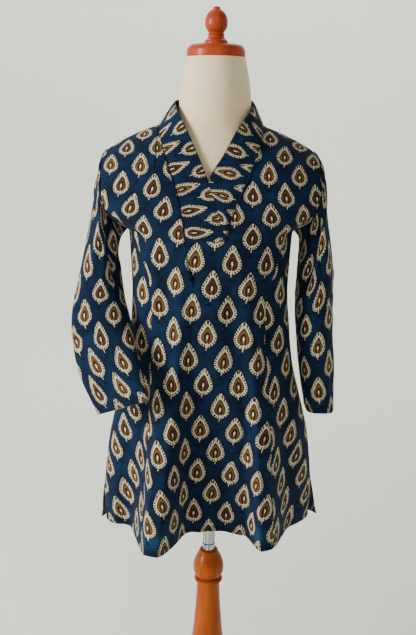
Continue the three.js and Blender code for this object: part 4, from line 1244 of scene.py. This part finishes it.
def lacquered_wood(name, light, dark):
    """Turned wood under a coloured gloss, with its grain running up the piece."""
    f = Finish(name)
    place = f.add("TexCoord").outputs["Object"]
    stretched = f.add("Mapping")
    f.put(place, stretched.inputs["Vector"])
    stretched.inputs["Scale"].default_value = (60, 60, 7)
    grain = f.noise(stretched.outputs[0], 1.6, 6.0, 0.62).outputs["Fac"]
    pores = f.noise(stretched.outputs[0], 14.0, 2.0, 0.6).outputs["Fac"]
    colour = f.blend(f.ease(grain, 0.2, 0.8), tone(*dark), tone(*light))
    colour = f.blend(f.ease(pores, 0.68, 0.82), colour, tone(*[0.8 * part for part in dark]))
    scuffs = f.noise(place, 40.0, 5.0, 0.7).outputs["Fac"]
    f.set(
        Base_Color=colour,
        Roughness=f.sum("MULTIPLY_ADD", scuffs, 0.2, 0.28),
        Normal=f.bump(grain, 0.08, 0.0006),
        Specular_IOR_Level=0.12,
        Coat_Weight=0.1,
        Coat_Roughness=0.12,
    )
    return f.material


def chromed_tube():
    """Polished chrome with faint lengthwise rubbing and finger haze."""
    f = Finish("chromed_tube")
    place = f.add("TexCoord").outputs["Object"]
    stretched = f.add("Mapping")
    f.put(place, stretched.inputs["Vector"])
    stretched.inputs["Scale"].default_value = (150, 150, 4)
    rub = f.noise(stretched.outputs[0], 1.0, 3.0).outputs["Fac"]
    haze = f.noise(place, 30.0, 4.0, 0.65).outputs["Fac"]
    colour = f.blend(f.ease(rub, 0.4, 0.6), tone(186, 189, 192), tone(104, 106, 108))
    f.set(
        Base_Color=colour,
        Metallic=1.0,
        Roughness=f.sum("MULTIPLY_ADD", haze, 0.2, f.sum("MULTIPLY", rub, 0.1)),
        Normal=f.bump(rub, 0.04, 0.0002),
    )
    return f.material


# ---- studio ----
ROOM_RADIUS = 5.5
ROOM_HEIGHT = 5.0
ROOM_CURVE = 1.4
ROOM_BENDS = 14


def make_room():
    """A plain pale floor that curves up into a wall all round."""
    f = Finish("studio_floor")
    place = f.add("TexCoord").outputs["Object"]
    mottle = f.noise(place, 1.2, 3.0).outputs["Fac"]
    f.set(
        Base_Color=f.blend(mottle, tone(233, 234, 227), tone(236, 237, 230)),
        Roughness=0.9,
        Specular_IOR_Level=0.1,
    )
    bpy.ops.object.select_all(action="DESELECT")
    bpy.ops.mesh.primitive_circle_add(
        vertices=128, radius=ROOM_RADIUS - ROOM_CURVE, fill_type="NGON", location=(0, 0, -0.0015)
    )
    room = bpy.context.object
    room.name = "studio_floor"
    bpy.ops.object.mode_set(mode="EDIT")
    bpy.ops.mesh.select_mode(type="EDGE")
    bpy.ops.mesh.select_all(action="SELECT")
    bpy.ops.mesh.region_to_loop()
    before = ROOM_RADIUS - ROOM_CURVE
    low = 0.0
    for bend in range(1, ROOM_BENDS + 1):
        angle = math.pi / 2 * bend / ROOM_BENDS
        radius = ROOM_RADIUS - ROOM_CURVE + ROOM_CURVE * math.sin(angle)
        height = ROOM_CURVE * (1 - math.cos(angle))
        bpy.ops.mesh.extrude_edges_move(TRANSFORM_OT_translate={"value": (0, 0, height - low)})
        bpy.ops.transform.resize(value=(radius / before, radius / before, 1), center_override=(0, 0, 0))
        before, low = radius, height
    bpy.ops.mesh.extrude_edges_move(TRANSFORM_OT_translate={"value": (0, 0, ROOM_HEIGHT - low)})
    bpy.ops.object.mode_set(mode="OBJECT")
    bpy.ops.object.transform_apply(location=True, rotation=True, scale=True)
    bpy.ops.object.shade_smooth()
    room.data.materials.append(f.material)


def make_lamp(name, place, aim, size, watts, colour):
    data = bpy.data.lights.new(name, "AREA")
    data.shape = "RECTANGLE"
    data.size, data.size_y = size
    data.energy = watts
    data.color = colour
    lamp = bpy.data.objects.new(name, data)
    lamp.location = place
    lamp.rotation_euler = (Vector(aim) - Vector(place)).to_track_quat("-Z", "Y").to_euler()
    bpy.context.collection.objects.link(lamp)


def light_studio():
    world = bpy.data.worlds.new("studio_air")
    world.use_nodes = True
    world.node_tree.nodes["Background"].inputs["Color"].default_value = (0.95, 0.97, 1.0, 1)
    world.node_tree.nodes["Background"].inputs["Strength"].default_value = 0.27
    bpy.context.scene.world = world
    make_lamp("window_left", (-2.75, -1.3, 1.95), (0, 0, 1.05), (1.0, 1.4), 160, (1.0, 0.98, 0.945))
    make_lamp("soft_front", (0.5, -3.2, 2.6), (0, 0, 1.0), (2.2, 1.6), 9, (1.0, 0.98, 0.96))
    make_lamp("backdrop", (0, 2.4, 4.3), (0, 4.6, 0.5), (4.0, 1.2), 186, (1.0, 1.0, 0.985))


# ---- the whole ----
make_camera()
make_room()
light_studio()

cotton = [printed_cotton("printed_cotton", 1.0), printed_cotton("printed_cotton_reverse", 0.3)]
cloth_pieces = {
    "centre_front": make_centre_front(cotton),
    "right_side_front": make_side_front("right_side_front", -1, (9, 31), cotton),
    "left_side_front": make_side_front("left_side_front", 1, (-14, 12), cotton),
    "back": make_back(cotton),
    "right_neck_band": make_band("right_neck_band", RIGHT_BAND, -1, cotton),
    "left_neck_band": make_band("left_neck_band", LEFT_BAND, 1, cotton),
    "right_sleeve": make_sleeve("right_sleeve", -1, RIGHT_SLEEVE, RIGHT_SLEEVE_CREASES, (8, 14), cotton),
    "left_sleeve": make_sleeve("left_sleeve", 1, LEFT_SLEEVE, LEFT_SLEEVE_CREASES, (-6, 40), cotton),
}
for node, piece in cloth_pieces.items():
    finished(piece, node)

red_wood = lacquered_wood("red_lacquered_wood", (170, 68, 36), (152, 56, 27))
wood = lacquered_wood("lacquered_wood", (166, 80, 10), (134, 54, 6))
chrome = chromed_tube()
cap_profile = rounded_cap()
stand_pieces = (
    ("torso_form", make_form(jersey_cover()), "form_cover"),
    ("neck_cap", turned_piece("neck_cap", cap_profile, red_wood), "polished_wood"),
    ("finial", turned_piece("finial", rounded_profile(FINIAL), red_wood), "polished_wood"),
    ("upper_tube", turned_piece("upper_tube", UPPER_TUBE, chrome), "chromed_tube"),
    ("lower_tube", turned_piece("lower_tube", LOWER_TUBE, chrome), "chromed_tube"),
    ("post_ball", turned_piece("post_ball", rounded_profile(BALL), wood), "polished_wood"),
    ("post_ring", turned_piece("post_ring", rounded_profile(RING), wood), "polished_wood"),
    ("post", turned_piece("post", rounded_profile(POST), wood), "polished_wood"),
    ("base", turned_piece("base", rounded_profile(BASE, 3), wood), "polished_wood"),
)
for node, piece, slot in stand_pieces:
    finished(piece, node)
